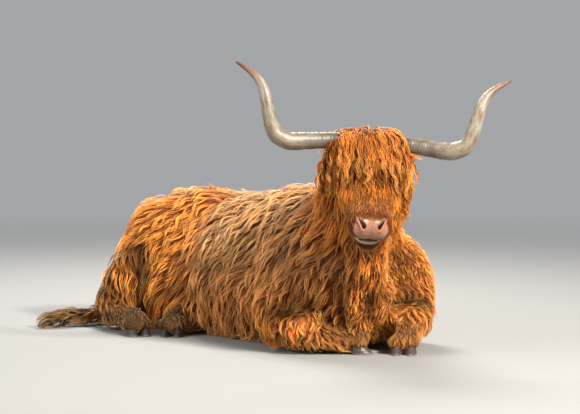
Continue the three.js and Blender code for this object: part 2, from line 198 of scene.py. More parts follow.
class Net:
    """The edges of a mesh, for evening values out over its surface."""

    def __init__(self, mesh):
        e = get(mesh.edges, "vertices", 2, np.int32)
        self.a = np.concatenate([e[:, 0], e[:, 1]])
        self.b = np.concatenate([e[:, 1], e[:, 0]])
        self.count = len(mesh.vertices)
        self.degree = np.maximum(np.bincount(self.a, minlength=self.count), 1)

    def even(self, values, rounds, share=0.5):
        """Each value moves towards the mean of its neighbours, by one share or by a share for each."""
        flat = values.ndim == 1
        v = values[:, None] if flat else values
        share = np.broadcast_to(np.asarray(share, float), (self.count,))[:, None]
        for _ in range(rounds):
            sums = [np.bincount(self.a, weights=column[self.b], minlength=self.count) for column in v.T]
            v = v + share * (np.stack(sums, -1) / self.degree[:, None] - v)
        return v[:, 0] if flat else v


# ---------------------------------------------------------------- the skin
FLESH = [n for n in NODES if not n.startswith(("horn", "eye")) and "claw" not in n]
# Depth of the coat over the skin on each kind of part.
COAT_DEPTH = {
    "trunk_chest": 0.042, "trunk_belly": 0.044, "trunk_rump": 0.036, "neck": 0.042, "head": 0.030,
    "muzzle": 0.003, "ear": 0.015, "forearm": 0.030, "shank": 0.040, "cannon": 0.012, "foot": 0.013,
    "tail_root": 0.024, "tail_middle": 0.022, "tail_brush": 0.030,
}
# How strongly the skin's surface is evened out there, and anywhere else.
EVENING = {"trunk": 0.6, "neck": 0.55, "head": 0.3, "muzzle": 0.10, "ear": 0.10, "cannon": 0.12, "foot": 0.12}
EVENING_ELSEWHERE = 0.3
SKIN_CELL = 0.0115
SKIN_LOWEST = 0.004
EYE_RADIUS = 0.0195
EYE_CENTRES = {side: np.mean(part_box(f"eye_{side}"), axis=0) for side in SIDES}
EYE_LOOKS = {side: head_way(sign * 0.83, 0.5, 0.05) for side, sign in SIDES.items()}


# In millimetres, the middle of each foot's two claws; the way they point; which of them is the inner one.
CLAW_WIDE, CLAW_GAP = 0.054, 0.003
FEET = {
    "foreleg_left": ((-22, -762, 0), (-0.62, -0.78), 1),
    "foreleg_right": ((-140, -632, 0), (0.84, -0.54), -1),
    "hindleg_right": ((-603, 440, 0), (-0.2, -0.98), -1),
    "hindleg_left": ((-488, 346, 0), (-0.66, -0.75), 1),
}
CLAWS = [(foot, side) for foot in FEET for side in (1, -1)]
# The flesh over the top of each claw belongs to these solids.
CORONETS = {foot: foot + ("_cannon" if "fore" in foot else "_foot") for foot in FEET}
CORONET_RADIUS, CORONET_BACK, CORONET_HIGH = 0.041, 0.015, 0.049
CORONET_DEPTH = 0.005


def claw_frame(foot, side):
    """The middle of a claw on the floor, the way it points and the way to its right."""
    place, points_to, _ = FEET[foot]
    forward = unit(np.array([*points_to, 0.0]))
    right = np.array([forward[1], -forward[0], 0.0])
    return mm(place)[0] + side * (CLAW_WIDE / 2 + CLAW_GAP / 2) * right, forward, right


def coronet(foot, side):
    base, forward, _ = claw_frame(foot, side)
    return tuple(base - CORONET_BACK * forward - CORONET_HIGH * DOWN)


def kind_of(name, table):
    return next(k for k in sorted(table, key=len, reverse=True) if k in name)


SWELL = 0.0015
# Balls that fill the sockets of the horns and eyes: places to the side or in depth, and radii.
HORN_SOCKET, HORN_SOCKET_RADIUS = (0.118, 0.14, 0.16, 0.172), 0.038
EYE_SOCKET, EYE_SOCKET_RADIUS, EYE_SOCKET_SPREAD = (0, 0.012, 0.024, 0.034), 0.022, 0.09


def flesh_mesh():
    """The solids of flesh as one mesh, a little swollen so that they overlap, with their sockets filled."""
    points, faces, owner = [], [], []

    def take(bm, k, grow=0.0, shift=(0, 0, 0)):
        start = len(points)
        points.extend(tuple(v.co + v.normal * grow + Vector(shift)) for v in bm.verts)
        faces.extend([v.index + start for v in f.verts] for f in bm.faces)
        owner.extend([k] * len(bm.faces))
        bm.free()

    for k, name in enumerate(FLESH):
        bm = bmesh.new()
        bm.from_mesh(NODES[name].data)
        bmesh.ops.remove_doubles(bm, verts=bm.verts, dist=1e-5)
        bm.normal_update()
        bmesh.ops.triangulate(bm, faces=bm.faces)
        take(bm, k, SWELL)
    plugs = []
    for side, sign in SIDES.items():
        plugs += [(on_head(sign * left, 0.007, 0.002), HORN_SOCKET_RADIUS) for left in HORN_SOCKET]
        for deep in EYE_SOCKET:
            place = EYE_CENTRES[side] + EYE_LOOKS[side] * deep
            plugs.append((place, EYE_SOCKET_RADIUS + EYE_SOCKET_SPREAD * deep))
    plugs = [(centre, radius, "head") for centre, radius in plugs]
    plugs += [(coronet(foot, side), CORONET_RADIUS, CORONETS[foot]) for foot, side in CLAWS]
    for centre, radius, solid in plugs:
        bm = bmesh.new()
        bmesh.ops.create_icosphere(bm, subdivisions=2, radius=radius)
        take(bm, FLESH.index(solid), 0.0, centre)
    return np.array(points), np.array(faces), np.array(owner)


def keep_biggest_island(mesh):
    e = get(mesh.edges, "vertices", 2, np.int32)
    label = np.arange(len(mesh.vertices))
    while True:
        low = label[e].min(1)
        new = label.copy()
        np.minimum.at(new, e[:, 0], low)
        np.minimum.at(new, e[:, 1], low)
        new = new[new]
        if (new == label).all():
            break
        label = new
    values, counts = np.unique(label, return_counts=True)
    bm = bmesh.new()
    bm.from_mesh(mesh)
    bm.verts.ensure_lookup_table()
    stray = [bm.verts[i] for i in np.flatnonzero(label != values[counts.argmax()])]
    bmesh.ops.delete(bm, geom=stray, context="VERTS")
    bm.to_mesh(mesh)
    bm.free()


def refine(mesh, wanted):
    """Divides the faces whose middle is wanted into four."""
    bm = bmesh.new()
    bm.from_mesh(mesh)
    middles = np.array([f.calc_center_median() for f in bm.faces])
    bm.faces.ensure_lookup_table()
    faces = [bm.faces[i] for i in np.flatnonzero(wanted(middles))]
    edges = list({e for f in faces for e in f.edges})
    bmesh.ops.subdivide_edges(bm, edges=edges, cuts=1, use_grid_fill=True)
    bm.to_mesh(mesh)
    bm.free()


flesh_points, flesh_faces, flesh_owner = flesh_mesh()
flesh_tree = BVHTree.FromPolygons(flesh_points.tolist(), flesh_faces.tolist())


def owner_of(points):
    """Which solid of flesh each place belongs to, by its number in FLESH."""
    return np.array([flesh_owner[flesh_tree.find_nearest(p)[2]] for p in points.tolist()])


def flesh(*names, of=None):
    """Which places on the skin belong to the solids with any of these words in their names."""
    numbers = [k for k, n in enumerate(FLESH) if any(name in n for name in names)]
    return np.isin(owner if of is None else of, numbers)


skin = make_mesh("skin", flesh_points, flesh_faces)
bpy.context.view_layer.objects.active = skin
skin.select_set(True)
skin.data.remesh_voxel_size = SKIN_CELL
bpy.ops.object.voxel_remesh()
keep_biggest_island(skin.data)

net = Net(skin.data)
at = points_of(skin.data)
owner = owner_of(at)
depth = np.array([COAT_DEPTH[kind_of(n, COAT_DEPTH)] for n in FLESH])[owner]
evening = [next((v for k, v in EVENING.items() if k in n), EVENING_ELSEWHERE) for n in FLESH]
evening = net.even(np.array(evening)[owner], 12)
face = face_of(at)
is_head = flesh("head", "muzzle")
coronets = np.array([coronet(*claw) for claw in CLAWS])
from_coronet = np.linalg.norm(at[:, None] - coronets[None], axis=2).min(1)
depth = np.where(from_coronet < 1.4 * CORONET_RADIUS, np.minimum(depth, CORONET_DEPTH), depth)
depth_down_face = np.interp(face[:, 1], [0.10, 0.18, 0.27, 0.33, 0.36], [0.036, 0.030, 0.013, 0.006, 0.003])
depth = net.even(np.where(is_head & (face[:, 1] > 0.06), depth_down_face, depth), 16)
at = net.even(at, 40, evening)
set_points(skin.data, at)
at = at - normals_of(skin.data) * depth[:, None]
at = net.even(at, 6, 0.5 * evening)
at[:, 2] = np.maximum(at[:, 2], SKIN_LOWEST)
set_points(skin.data, at)

# Folds and swellings of the skin: how far out, how wide, and the line, in millimetres.
FOLDS = [
    # Between the neck and the right shoulder.
    (-0.062, 0.032, [(-227, -609, 450), (-234, -634, 335), (-217, -617, 228), (-174, -592, 110)]),
    # The dewlap's right and left folds, the groove between them, and the one beside the left shoulder.
    (0.040, 0.026, [(-217, -645, 264), (-186, -631, 194), (-146, -602, 131)]),
    (0.044, 0.026, [(-40, -650, 300), (-66, -662, 232), (-80, -640, 160)]),
    (-0.044, 0.025, [(-152, -691, 231), (-128, -657, 177), (-98, -599, 130)]),
    (-0.062, 0.036, [(106, -565, 378), (68, -582, 295), (22, -602, 205)]),
    # The right knee and the groove over it, and the same on the left.
    (0.042, 0.052, [(-352, -520, 110), (-345, -500, 100)]),
    (-0.036, 0.028, [(-391, -426, 171), (-343, -468, 210), (-297, -534, 205), (-262, -552, 130)]),
    (0.034, 0.050, [(58, -690, 140), (50, -680, 150)]),
    (-0.028, 0.030, [(60, -605, 212), (146, -647, 202)]),
    # Between the right thigh and the flank.
    (-0.044, 0.034, [(-464, 691, 350), (-450, 679, 292), (-425, 690, 220), (-405, 690, 100)]),
]


def pieces_beside(points, line):
    """For each straight piece of a line of places, how far each point is from it, and the way it runs."""
    for a, b in zip(line[:-1], line[1:]):
        t = np.clip(((points - a) @ (b - a)) / ((b - a) @ (b - a)), 0, 1)
        yield np.linalg.norm(points - a - t[:, None] * (b - a), axis=1), unit(b - a)


def beside(points, line):
    """How far each point is from a line of places."""
    return np.min([far for far, _ in pieces_beside(points, line)], axis=0)


def near_folds(points, sign, wider):
    """How near each point is to a groove, sign -1, or to a swelling, sign 1, of the skin, from 0 to 1."""
    lines = [(wide, line) for far_out, wide, line in FOLDS if far_out * sign > 0]
    return np.max([bell(beside(points, mm(*line)), wider * wide) for wide, line in lines], axis=0)


out = normals_of(skin.data)
for far_out, wide, line in FOLDS:
    at = at + out * (far_out * bell(beside(at, mm(*line)), wide))[:, None]
at = net.even(at, 3, 0.4 * (1 - is_head))
at[:, 2] = np.maximum(at[:, 2], SKIN_LOWEST)
set_points(skin.data, at)

# The muzzle: ovals beside the face axis that flow into each other. Middle, radii, and how far each leans.
MUZZLE_OVALS = [
    ((0.000, 0.262, -0.036), (0.107, 0.150, 0.077), 0),
    ((0.000, 0.372, -0.022), (0.079, 0.056, 0.052), 12),
    ((0.038, 0.392, -0.036), (0.046, 0.040, 0.038), 0),
    ((-0.038, 0.392, -0.036), (0.046, 0.040, 0.038), 0),
    ((0.000, 0.396, -0.107), (0.049, 0.036, 0.034), 0),
    ((0.000, 0.330, -0.098), (0.058, 0.075, 0.038), 0),
]


MUZZLE_BLEND = 0.020
LONGEST_MOVE = 0.004  # in one round


def blend(a, b, width):
    """The lesser of two values, with an even passage where they come near each other."""
    h = np.maximum(width - np.abs(a - b), 0) / width
    return np.minimum(a, b) - h * h * width / 4


def muzzle_field(places):
    """How far each place beside the face axis is outside the muzzle's ovals, less than 0 within them."""
    value = np.full(len(places), 1.0)
    for middle, radii, lean in MUZZLE_OVALS:
        q = places - middle
        c, s = math.cos(math.radians(lean)), math.sin(math.radians(lean))
        q = np.stack([q[:, 0], c * q[:, 1] - s * q[:, 2], s * q[:, 1] + c * q[:, 2]], -1) / radii
        value = blend(value, (np.linalg.norm(q, axis=1) - 1) * min(radii), MUZZLE_BLEND)
    return value


def onto_field(places, field, rounds, share):
    """Moves the places onto the surface where the field is 0, by a share of the way in each round."""
    h = 1e-4
    for _ in range(rounds):
        value = field(places)
        slope = np.stack([(field(places + step) - value) / h for step in np.eye(3) * h], -1)
        steep = (slope**2).sum(1) + 1e-6
        move = share * np.clip(value / steep, -LONGEST_MOVE, LONGEST_MOVE)
        places = places - move[:, None] * slope
    return places


def near_muzzle(points, start):
    return face_of(points)[:, 1] > start


CHIN_HIGH = 0.38  # lower than this no part of the head hangs


def near_lips(points):
    """The front of the muzzle, with the nostrils and the lips."""
    left, down, up = face_of(points).T
    return (down > 0.362) & (down < 0.47) & (np.abs(left) < 0.10) & (np.abs(up + 0.05) < 0.09)


def near_eyes(points, reach):
    return np.min([np.linalg.norm(points - c, axis=1) for c in EYE_CENTRES.values()], axis=0) < reach


refine(skin.data, lambda p: near_muzzle(p, 0.285) | near_eyes(p, 0.055))
refine(skin.data, lambda p: near_muzzle(p, 0.345) & (p[:, 2] > CHIN_HIGH) | near_eyes(p, 0.040))
refine(skin.data, lambda p: near_lips(p) | near_eyes(p, 0.030))
net = Net(skin.data)
at = points_of(skin.data)
owner = owner_of(at)
is_head = flesh("head", "muzzle")
face = face_of(at)
share = smooth(face[:, 1], 0.285, 0.350) * smooth(face[:, 2], -0.165, -0.140) * is_head
share *= 1 - smooth(np.abs(muzzle_field(face)), 0.022, 0.034)
places = onto_field(face, muzzle_field, 12, share)
for _ in range(3):
    places = net.even(places, 3, 0.5 * (share > 0.5))
    places = onto_field(places, muzzle_field, 3, share)
at = on_face(*places.T)
set_points(skin.data, at)

# Nostrils: from the outer upper end, narrow, to the inner lower end, wide.
NOSTRIL_TOP, NOSTRIL_FOOT = np.array([0.053, 0.381]), np.array([0.031, 0.4125])
NOSTRIL_HALVES = (0.0018, 0.0058)
# How far below the face axis the mouth is, and how far down the face its corners are.
MOUTH_OUT, MOUTH_BACK = -0.075, 0.325


def nostril(face):
    """(distance from the nostril's edge, share along it, which way out from it) on the nearer side."""
    q = np.stack([np.abs(face[:, 0]), face[:, 1]], -1)
    run = NOSTRIL_FOOT - NOSTRIL_TOP
    t = np.clip(((q - NOSTRIL_TOP) @ run) / (run @ run), 0, 1)
    off = q - NOSTRIL_TOP - t[:, None] * run
    far = np.linalg.norm(off, axis=1) - (NOSTRIL_HALVES[0] + (NOSTRIL_HALVES[1] - NOSTRIL_HALVES[0]) * t)
    return far, t, off[:, 0]


face = face_of(at)
down, above_axis, from_middle = face[:, 1], face[:, 2], np.abs(face[:, 0])
out = normals_of(skin.data)
on_front = smooth(down, 0.33, 0.36) * is_head
edge, along, outer = nostril(face)
upper = smooth(above_axis, -0.05, -0.03) * on_front
hole = (1 - smooth(edge, -0.0030, 0.0012)) * upper
rim = bell(edge - 0.0055, 0.0045) * upper
move = -hole * (0.015 + 0.020 * along)
move += rim * (0.0018 + 0.0040 * smooth(outer, -0.004, 0.004))
mouth_line = MOUTH_OUT - 0.10 * from_middle - 0.25 * np.maximum(0.41 - down, 0)
from_mouth = above_axis - mouth_line
in_mouth = smooth(down, MOUTH_BACK, MOUTH_BACK + 0.03) * is_head
slit = bell(from_mouth, 0.0042) * in_mouth
move -= 0.016 * slit
move += 0.0035 * bell(from_mouth - 0.011, 0.007) * in_mouth
move += 0.0045 * bell(from_mouth + 0.011, 0.008) * in_mouth * smooth(down, 0.385, 0.405)
groove = bell(face[:, 0], 0.0022) * smooth(down, 0.395, 0.41) * smooth(from_mouth, 0.0, 0.01) * on_front
move -= 0.0016 * groove
set_points(skin.data, at + out * move[:, None])
# Where the skin is bare: the nose pad, down to the upper lip, and the edges of both lips.
pad = np.hypot(face[:, 0] / 0.073, (above_axis + 0.013) / 0.042)
pad_top = smooth(down - 0.12 * from_middle ** 1.5, 0.358, 0.366)
lips = between(from_mouth, -0.019, -0.014, 0.003, 0.008) * in_mouth
lips *= smooth(down, 0.388, 0.402)
bare = np.maximum((1 - smooth(pad, 0.93, 1.04)) * pad_top, lips) * is_head
bare = np.maximum(bare, (1 - smooth(edge, 0.003, 0.007)) * upper)
stubble = is_head * smooth(down, 0.352, 0.372) * bell(from_mouth - 0.014, 0.022) * (1 - bare)

# Lids: the skin lies on each eyeball round an almond opening, and dips behind it within the opening.
LID_OPENING, LID_THICK, LID_REACH = (0.0175, 0.0095), 0.0028, 0.034
at = points_of(skin.data)
lid_edge = np.full(len(at), 1.0)
for side, sign in SIDES.items():
    look = EYE_LOOKS[side]
    inward = unit(FACE_DOWN - (FACE_DOWN @ look) * look)
    above = unit(np.cross(look, inward)) * sign
    q = at - EYE_CENTRES[side]
    u, v, w = q @ inward, q @ above, q @ look
    near = np.linalg.norm(q, axis=1)
    facing = smooth(w, 0.0, 0.01)
    ring = np.hypot(u / LID_OPENING[0], v / LID_OPENING[1] * (1 + 0.35 * (u / LID_OPENING[0]) ** 2))
    far = (ring - 1) * LID_OPENING[1]
    on_lid = (1 - smooth(np.hypot(u, v), 0.019, LID_REACH)) * facing
    ball = EYE_CENTRES[side] + unit(q) * (EYE_RADIUS + LID_THICK + 0.0012 * bell(far - 0.002, 0.002))[:, None]
    creased = ball - unit(q) * (0.0016 * bell(far - 0.0075, 0.0018))[:, None]
    at = at + (creased - at) * on_lid[:, None]
    within = (1 - smooth(far, -0.0015, 0.0005)) * facing * (np.hypot(u, v) < 0.03)
    at = at - look * (within * 0.009)[:, None]
    lid_edge = np.where((near < 0.045) & (w > 0), np.minimum(lid_edge, far), lid_edge)
set_points(skin.data, at)
skin.data.shade_smooth()
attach(skin, "root")
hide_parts(*FLESH)

# ---------------------------------------------------------------- materials
def new_paint(name, roughness, specular=0.5):
    paint = bpy.data.materials.new(name)
    paint.use_nodes = True
    shader = paint.node_tree.nodes["Principled BSDF"]
    shader.inputs["Roughness"].default_value = roughness
    shader.inputs["Specular IOR Level"].default_value = specular
    return paint, paint.node_tree, shader


def node(nodes, kind, inputs=None, **settings):
    made = nodes.nodes.new("ShaderNode" + kind)
    for key, value in settings.items():
        setattr(made, key, value)
    for key, value in (inputs or {}).items():
        if isinstance(value, bpy.types.NodeSocket):
            nodes.links.new(value, made.inputs[key])
        else:
            made.inputs[key].default_value = value
    return made


def attribute(nodes, name, kind="Color"):
    return node(nodes, "Attribute", attribute_name=name).outputs[kind]


def noise(nodes, place, scale, detail, **more):
    return node(nodes, "TexNoise", {"Vector": place, "Scale": scale, "Detail": detail, **more}).outputs["Fac"]


def ranged(nodes, value, low, high, to_low, to_high):
    inputs = {"Value": value, "From Min": low, "From Max": high, "To Min": to_low, "To Max": to_high}
    return node(nodes, "MapRange", inputs).outputs["Result"]


def tint_times(nodes, amount):
    """The colour kept at each vertex, lighter or darker by an amount."""
    mix = node(nodes, "Mix", {"Factor": 1.0}, data_type="RGBA", blend_type="MULTIPLY")
    nodes.links.new(attribute(nodes, "tint"), mix.inputs["A"])
    nodes.links.new(amount, mix.inputs["B"])
    return mix.outputs["Result"]


def finish_paint(nodes, shader, colour, height=None, strength=0.0, distance=0.0):
    """Joins the colour to the shader, and a relief if there is one."""
    if colour is not None:
        nodes.links.new(colour, shader.inputs["Base Color"])
    if height is not None:
        bump = node(nodes, "Bump", {"Height": height, "Strength": strength, "Distance": distance})
        nodes.links.new(bump.outputs["Normal"], shader.inputs["Normal"])


# ---------------------------------------------------------------- horns, claws and eyes
SPECK = (0.12, 0.065, 0.03, 1)


def horny_material(name, roughness, speck, relief):
    """Horn, with streaks and specks along the grain attribute, which runs around and along the piece."""
    paint, nodes, shader = new_paint(name, roughness)
    grain = attribute(nodes, "grain", "Vector")
    streak = noise(nodes, grain, 320.0, 5.0, Roughness=0.65)
    blotch = noise(nodes, grain, 85.0, 3.0)
    streaked = tint_times(nodes, ranged(nodes, streak, 0.3, 0.7, 0.74, 1.18))
    specked = node(nodes, "Mix", {"Factor": ranged(nodes, blotch, 0.50, 0.66, 0.0, speck)}, data_type="RGBA")
    nodes.links.new(streaked, specked.inputs["A"])
    specked.inputs["B"].default_value = SPECK
    finish_paint(nodes, shader, specked.outputs["Result"], streak, 0.7, relief)
    return paint


def tube_mesh(name, rings, first_end, last_end):
    """One closed mesh from rings of points, closed at both ends by a point."""
    steps, sides = rings.shape[:2]
    places = np.concatenate([rings.reshape(-1, 3), [first_end, last_end]])
    faces = []
    for k in range(sides):
        after = (k + 1) % sides
        for i in range(steps - 1):
            faces.append([i * sides + k, i * sides + after, (i + 1) * sides + after, (i + 1) * sides + k])
        faces.append([steps * sides, after, k])
        faces.append([steps * sides + 1, (steps - 1) * sides + k, (steps - 1) * sides + after])
    return new_mesh(name, places, faces)


def set_grain(mesh, grain):
    fill(mesh.attributes.new("grain", "FLOAT_VECTOR", "POINT").data, "vector", grain)


def turns(sides):
    return np.linspace(0, 2 * np.pi, sides, endpoint=False)


def table_at(places, known, table):
    """The columns of a table at places between the known ones of its rows."""
    return np.stack([np.interp(places, known, column) for column in np.array(table).T], -1)


def spline(points, steps):
    """Even points along the smooth curve through the given ones."""
    points = np.concatenate([[2 * points[0] - points[1]], points, [2 * points[-1] - points[-2]]])
    t = np.linspace(0, 1, 33)[:-1, None]
    parts = []
    for p0, p1, p2, p3 in zip(points, points[1:], points[2:], points[3:]):
        a, b, c = (math.sqrt(np.linalg.norm(q - p)) for p, q in ((p0, p1), (p1, p2), (p2, p3)))
        u = b * ((p1 - p0) / a - (p2 - p0) / (a + b) + (p2 - p1) / b)
        v = b * ((p2 - p1) / b - (p3 - p1) / (b + c) + (p3 - p2) / c)
        parts.append(p1 + u * t + (3 * (p2 - p1) - 2 * u - v) * t**2 + (2 * (p1 - p2) + u + v) * t**3)
    line = np.concatenate(parts + [points[-2:-1]])
    far = np.concatenate([[0], np.cumsum(np.linalg.norm(np.diff(line, axis=0), axis=1))])
    even = np.linspace(0, far[-1], steps + 1)
    return table_at(even, far, line)


# The horns' middle line on the head (left, forward, up), and their radii at even steps along it, in
# millimetres.
HORN_LINE = [
    (118, 6, 4), (181, 10, 0), (272, 24, -8), (340, 40, -11), (393, 50, 15), (420, 50, 75), (437, 44, 145),
    (458, 34, 204), (496, 22, 250), (568, 6, 294),
]
HORN_RADII = [33, 34, 35, 37, 36, 31, 28, 25, 20, 13, 5]
HORN_LONG = 0.93
HORN_STEPS, HORN_SIDES = 150, 48
HORN_TIP = 0.005
HORN_RING_GAP, HORN_RING_HIGH, HORN_LUMP_HIGH = 0.0125, 0.0008, 0.0009
# Colours along a horn, from the head to the tip.
HORN_PLACES = [0.0, 0.12, 0.25, 0.36, 0.48, 0.62, 0.76, 0.84, 0.92, 1.0]
HORN_COLOURS = [
    (0.16, 0.12, 0.09), (0.28, 0.235, 0.185), (0.40, 0.345, 0.275), (0.52, 0.44, 0.32), (0.60, 0.50, 0.34),
    (0.66, 0.58, 0.45), (0.70, 0.62, 0.52), (0.60, 0.40, 0.29), (0.50, 0.19, 0.09), (0.26, 0.09, 0.045),
]
HORN_SHADE = 0.40


def horn_mesh(side):
    left, forward, up = np.array(HORN_LINE).T / 1000
    line = on_head(side * left, forward, up)
    middle = spline(line, HORN_STEPS)
    steps = np.linspace(0, 1, HORN_STEPS + 1)
    radii = spline(np.stack([np.arange(11) * 40.0, HORN_RADII, np.zeros(11)], -1), HORN_STEPS)[:, 1] / 1000
    along = unit(np.gradient(middle, axis=0))
    across = np.empty_like(middle)
    across[0] = unit(np.cross(along[0], [0.0, 0.0, 1.0]))
    for i in range(1, len(middle)):
        across[i] = unit(across[i - 1] - (across[i - 1] @ along[i]) * along[i])
    over = np.cross(along, across)
    turn = turns(HORN_SIDES)
    far = steps * HORN_LONG
    # Growth rings, strong and uneven near the head and gone past the bend.
    ring = np.sin(2 * np.pi * far / HORN_RING_GAP + 1.6 * np.sin(2 * np.pi * far / 0.047) + side)
    ridge = HORN_RING_HIGH * ring * (1 - smooth(steps, 0.10, 0.42))
    lump = HORN_LUMP_HIGH * np.sin(2 * np.pi * far / 0.075 + 2)[:, None] * np.cos(turn + 3 * far[:, None])
    radius = (radii + ridge)[:, None] - 0.0006 + lump * (1 - smooth(steps, 0.5, 0.9))[:, None]
    rings = round_about(middle[:, None], across[:, None], over[:, None], radius, turn)
    mesh = tube_mesh("horn", rings, middle[0], middle[-1] + HORN_TIP * along[-1])
    grain = np.stack(np.broadcast_arrays(0.03 * np.cos(turn), 0.03 * np.sin(turn), far[:, None] * 0.16), -1)
    ends = np.array([[0, 0, 0], [0, 0, 0.15]])
    set_grain(mesh, np.concatenate([grain.reshape(-1, 3), ends]))
    colour = table_at(steps, HORN_PLACES, HORN_COLOURS)
    shade = 1 + 0.16 * waves(rings.reshape(-1, 3), 0.12, 0.02, 12, 30)
    tint = np.repeat(colour, HORN_SIDES, 0) * shade[:, None] * HORN_SHADE
    set_tint(mesh, np.concatenate([tint, colour[[0, -1]]]))
    return mesh


# Rings of a claw from the middle of its sole to its top: the middle (forward), half the length, half the
# width, and the height in front and behind.
CLAW_RINGS = np.array([
    (0.000, 0.020, 0.012, 0.0000, 0.0000), (0.000, 0.038, 0.0225, 0.0000, 0.0000),
    (0.000, 0.0425, 0.0248, 0.0006, 0.0006), (0.000, 0.0445, 0.0262, 0.0025, 0.0030),
    (-0.003, 0.0422, 0.0262, 0.0085, 0.0100), (-0.0078, 0.0375, 0.0252, 0.0175, 0.0185),
    (-0.0125, 0.0330, 0.0238, 0.0270, 0.0260), (-0.017, 0.0290, 0.0222, 0.0360, 0.0330),
    (-0.020, 0.0260, 0.0206, 0.0430, 0.0390), (-0.021, 0.0225, 0.0184, 0.0480, 0.0430),
    (-0.021, 0.0170, 0.0140, 0.0510, 0.0460), (-0.021, 0.0090, 0.0080, 0.0520, 0.0480),
])
CLAW_SIDES = 56
CLAW_RING_GAP, CLAW_RING_HIGH = 0.0062, 0.0006
WALL = np.array([0.050, 0.042, 0.044])
WALL_EDGE = np.array([0.26, 0.19, 0.14])


def claw_mesh(foot, side):
    fine = np.linspace(0, len(CLAW_RINGS) - 1, 4 * len(CLAW_RINGS) - 3)
    middle, long, wide, front, back = table_at(fine, np.arange(len(CLAW_RINGS)), CLAW_RINGS).T[:, :, None]
    turn = turns(CLAW_SIDES)[None]
    toe, across = np.cos(turn), np.sin(turn)
    height = back + (front - back) * (0.5 + 0.5 * toe)
    # The toe is narrower than the heel, and the side by the cleft is flatter.
    x = wide * np.sign(across) * np.abs(across) ** 0.9 * (1 - 0.20 * toe - 0.10 * toe**2)
    x = x * np.where(across * side < 0, 0.86, 1)
    y = middle + long * toe * (1 + 0.04 * across * side)
    ring = CLAW_RING_HIGH * np.sin(2 * np.pi * height / CLAW_RING_GAP + 1.3 * np.sin(height * 400))
    ring = ring * smooth(height, 0.004, 0.012)
    x, y = x * (1 + ring / 0.026), y * (1 + ring / 0.040)
    base, forward, right = claw_frame(foot, side)
    rings = base + x[..., None] * right + y[..., None] * forward - height[..., None] * DOWN
    mesh = tube_mesh("claw", rings, rings[0].mean(0), rings[-1].mean(0) + 0.0008 * -DOWN)
    grain = np.stack([x * 0.5, y * 0.5, np.broadcast_to(height * 0.12, x.shape)], -1)
    set_grain(mesh, np.concatenate([grain.reshape(-1, 3), grain[0, :1], grain[-1, :1]]))
    edge = 1 - smooth(height, 0.002, 0.010)
    colour = WALL + (WALL_EDGE - WALL) * edge[..., None] * (0.8 + 0.2 * across[..., None])
    set_tint(mesh, np.concatenate([colour.reshape(-1, 3), [WALL_EDGE, WALL]]))
    return mesh


IRIS, PUPIL_WIDE, PUPIL_HIGH = 0.0118, 0.0068, 0.0040
EYE_GAP, EYE_BULGE = 0.0008, 0.0009
EYE_WHITE, EYE_BROWN, PUPIL_DARK = np.array([0.30, 0.21, 0.16]), np.array([0.13, 0.050, 0.016]), 0.004
EYE_ROWS, EYE_SIDES = 48, 64


def eye_mesh(centre, look):
    """An eyeball with its pole at the cornea."""
    level = unit(np.cross(look, [0.0, 0.0, 1.0]))
    up = np.cross(level, look)
    slope = np.linspace(0, np.pi, EYE_ROWS + 2)[1:-1, None]
    turn = turns(EYE_SIDES)[None]
    flat = stack(np.sin(slope) * np.cos(turn), np.sin(slope) * np.sin(turn), np.cos(slope))
    ball = EYE_RADIUS - EYE_GAP
    radius = ball + EYE_BULGE * (1 - smooth(slope, 0.35, 0.85))
    rings = centre + radius[..., None] * (flat @ np.stack([level, up, look]))
    mesh = tube_mesh("eye", rings, centre + (ball + EYE_BULGE) * look, centre - ball * look)
    x, y = flat[..., 0] * EYE_RADIUS, flat[..., 1] * EYE_RADIUS
    far = np.hypot(x, y)
    front = flat[..., 2] > 0
    white = EYE_WHITE + 0 * flat
    share = ((1 - smooth(far, IRIS - 0.0008, IRIS + 0.0008)) * front)[..., None]
    ring = smooth(far, IRIS * 0.72, IRIS)[..., None]
    iris = EYE_BROWN * (1 - 0.75 * ring)
    pupil = ((1 - smooth(np.hypot(x / PUPIL_WIDE, y / PUPIL_HIGH), 0.88, 1.05)) * front)[..., None]
    colour = white + (iris - white) * share
    colour = colour * (1 - pupil) + PUPIL_DARK * pupil
    set_tint(mesh, np.concatenate([colour.reshape(-1, 3), [colour[0, 0], white[0, 0]]]))
    mesh.flip_normals()
    return mesh


def eye_material():
    paint, nodes, shader = new_paint("eye", 0.04, 0.6)
    fleck = noise(nodes, node(nodes, "TexCoord").outputs["Object"], 900.0, 3.0)
    finish_paint(nodes, shader, tint_times(nodes, ranged(nodes, fleck, 0.3, 0.7, 0.65, 1.3)))
    return paint


def put(name, mesh, paint):
    """A piece that takes the place of the node of its own name."""
    mesh.materials.append(paint)
    obj = add_object(name + "_piece", mesh)
    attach(obj, "root")
    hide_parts(name)
    return obj


horn_paint = horny_material("horn", 0.42, 0.70, 0.0012)
claw_paint = horny_material("claw", 0.38, 0.25, 0.0008)
eye_paint = eye_material()
HORNY_PIECES = []
for name, side in SIDES.items():
    HORNY_PIECES.append(put(f"horn_{name}", horn_mesh(side), horn_paint))
    put(f"eye_{name}", eye_mesh(EYE_CENTRES[name], EYE_LOOKS[name]), eye_paint)
for foot, side in CLAWS:
    claw = f"{foot}_claw_{'inner' if side == FEET[foot][2] else 'outer'}"
    HORNY_PIECES.append(put(claw, claw_mesh(foot, side), claw_paint))


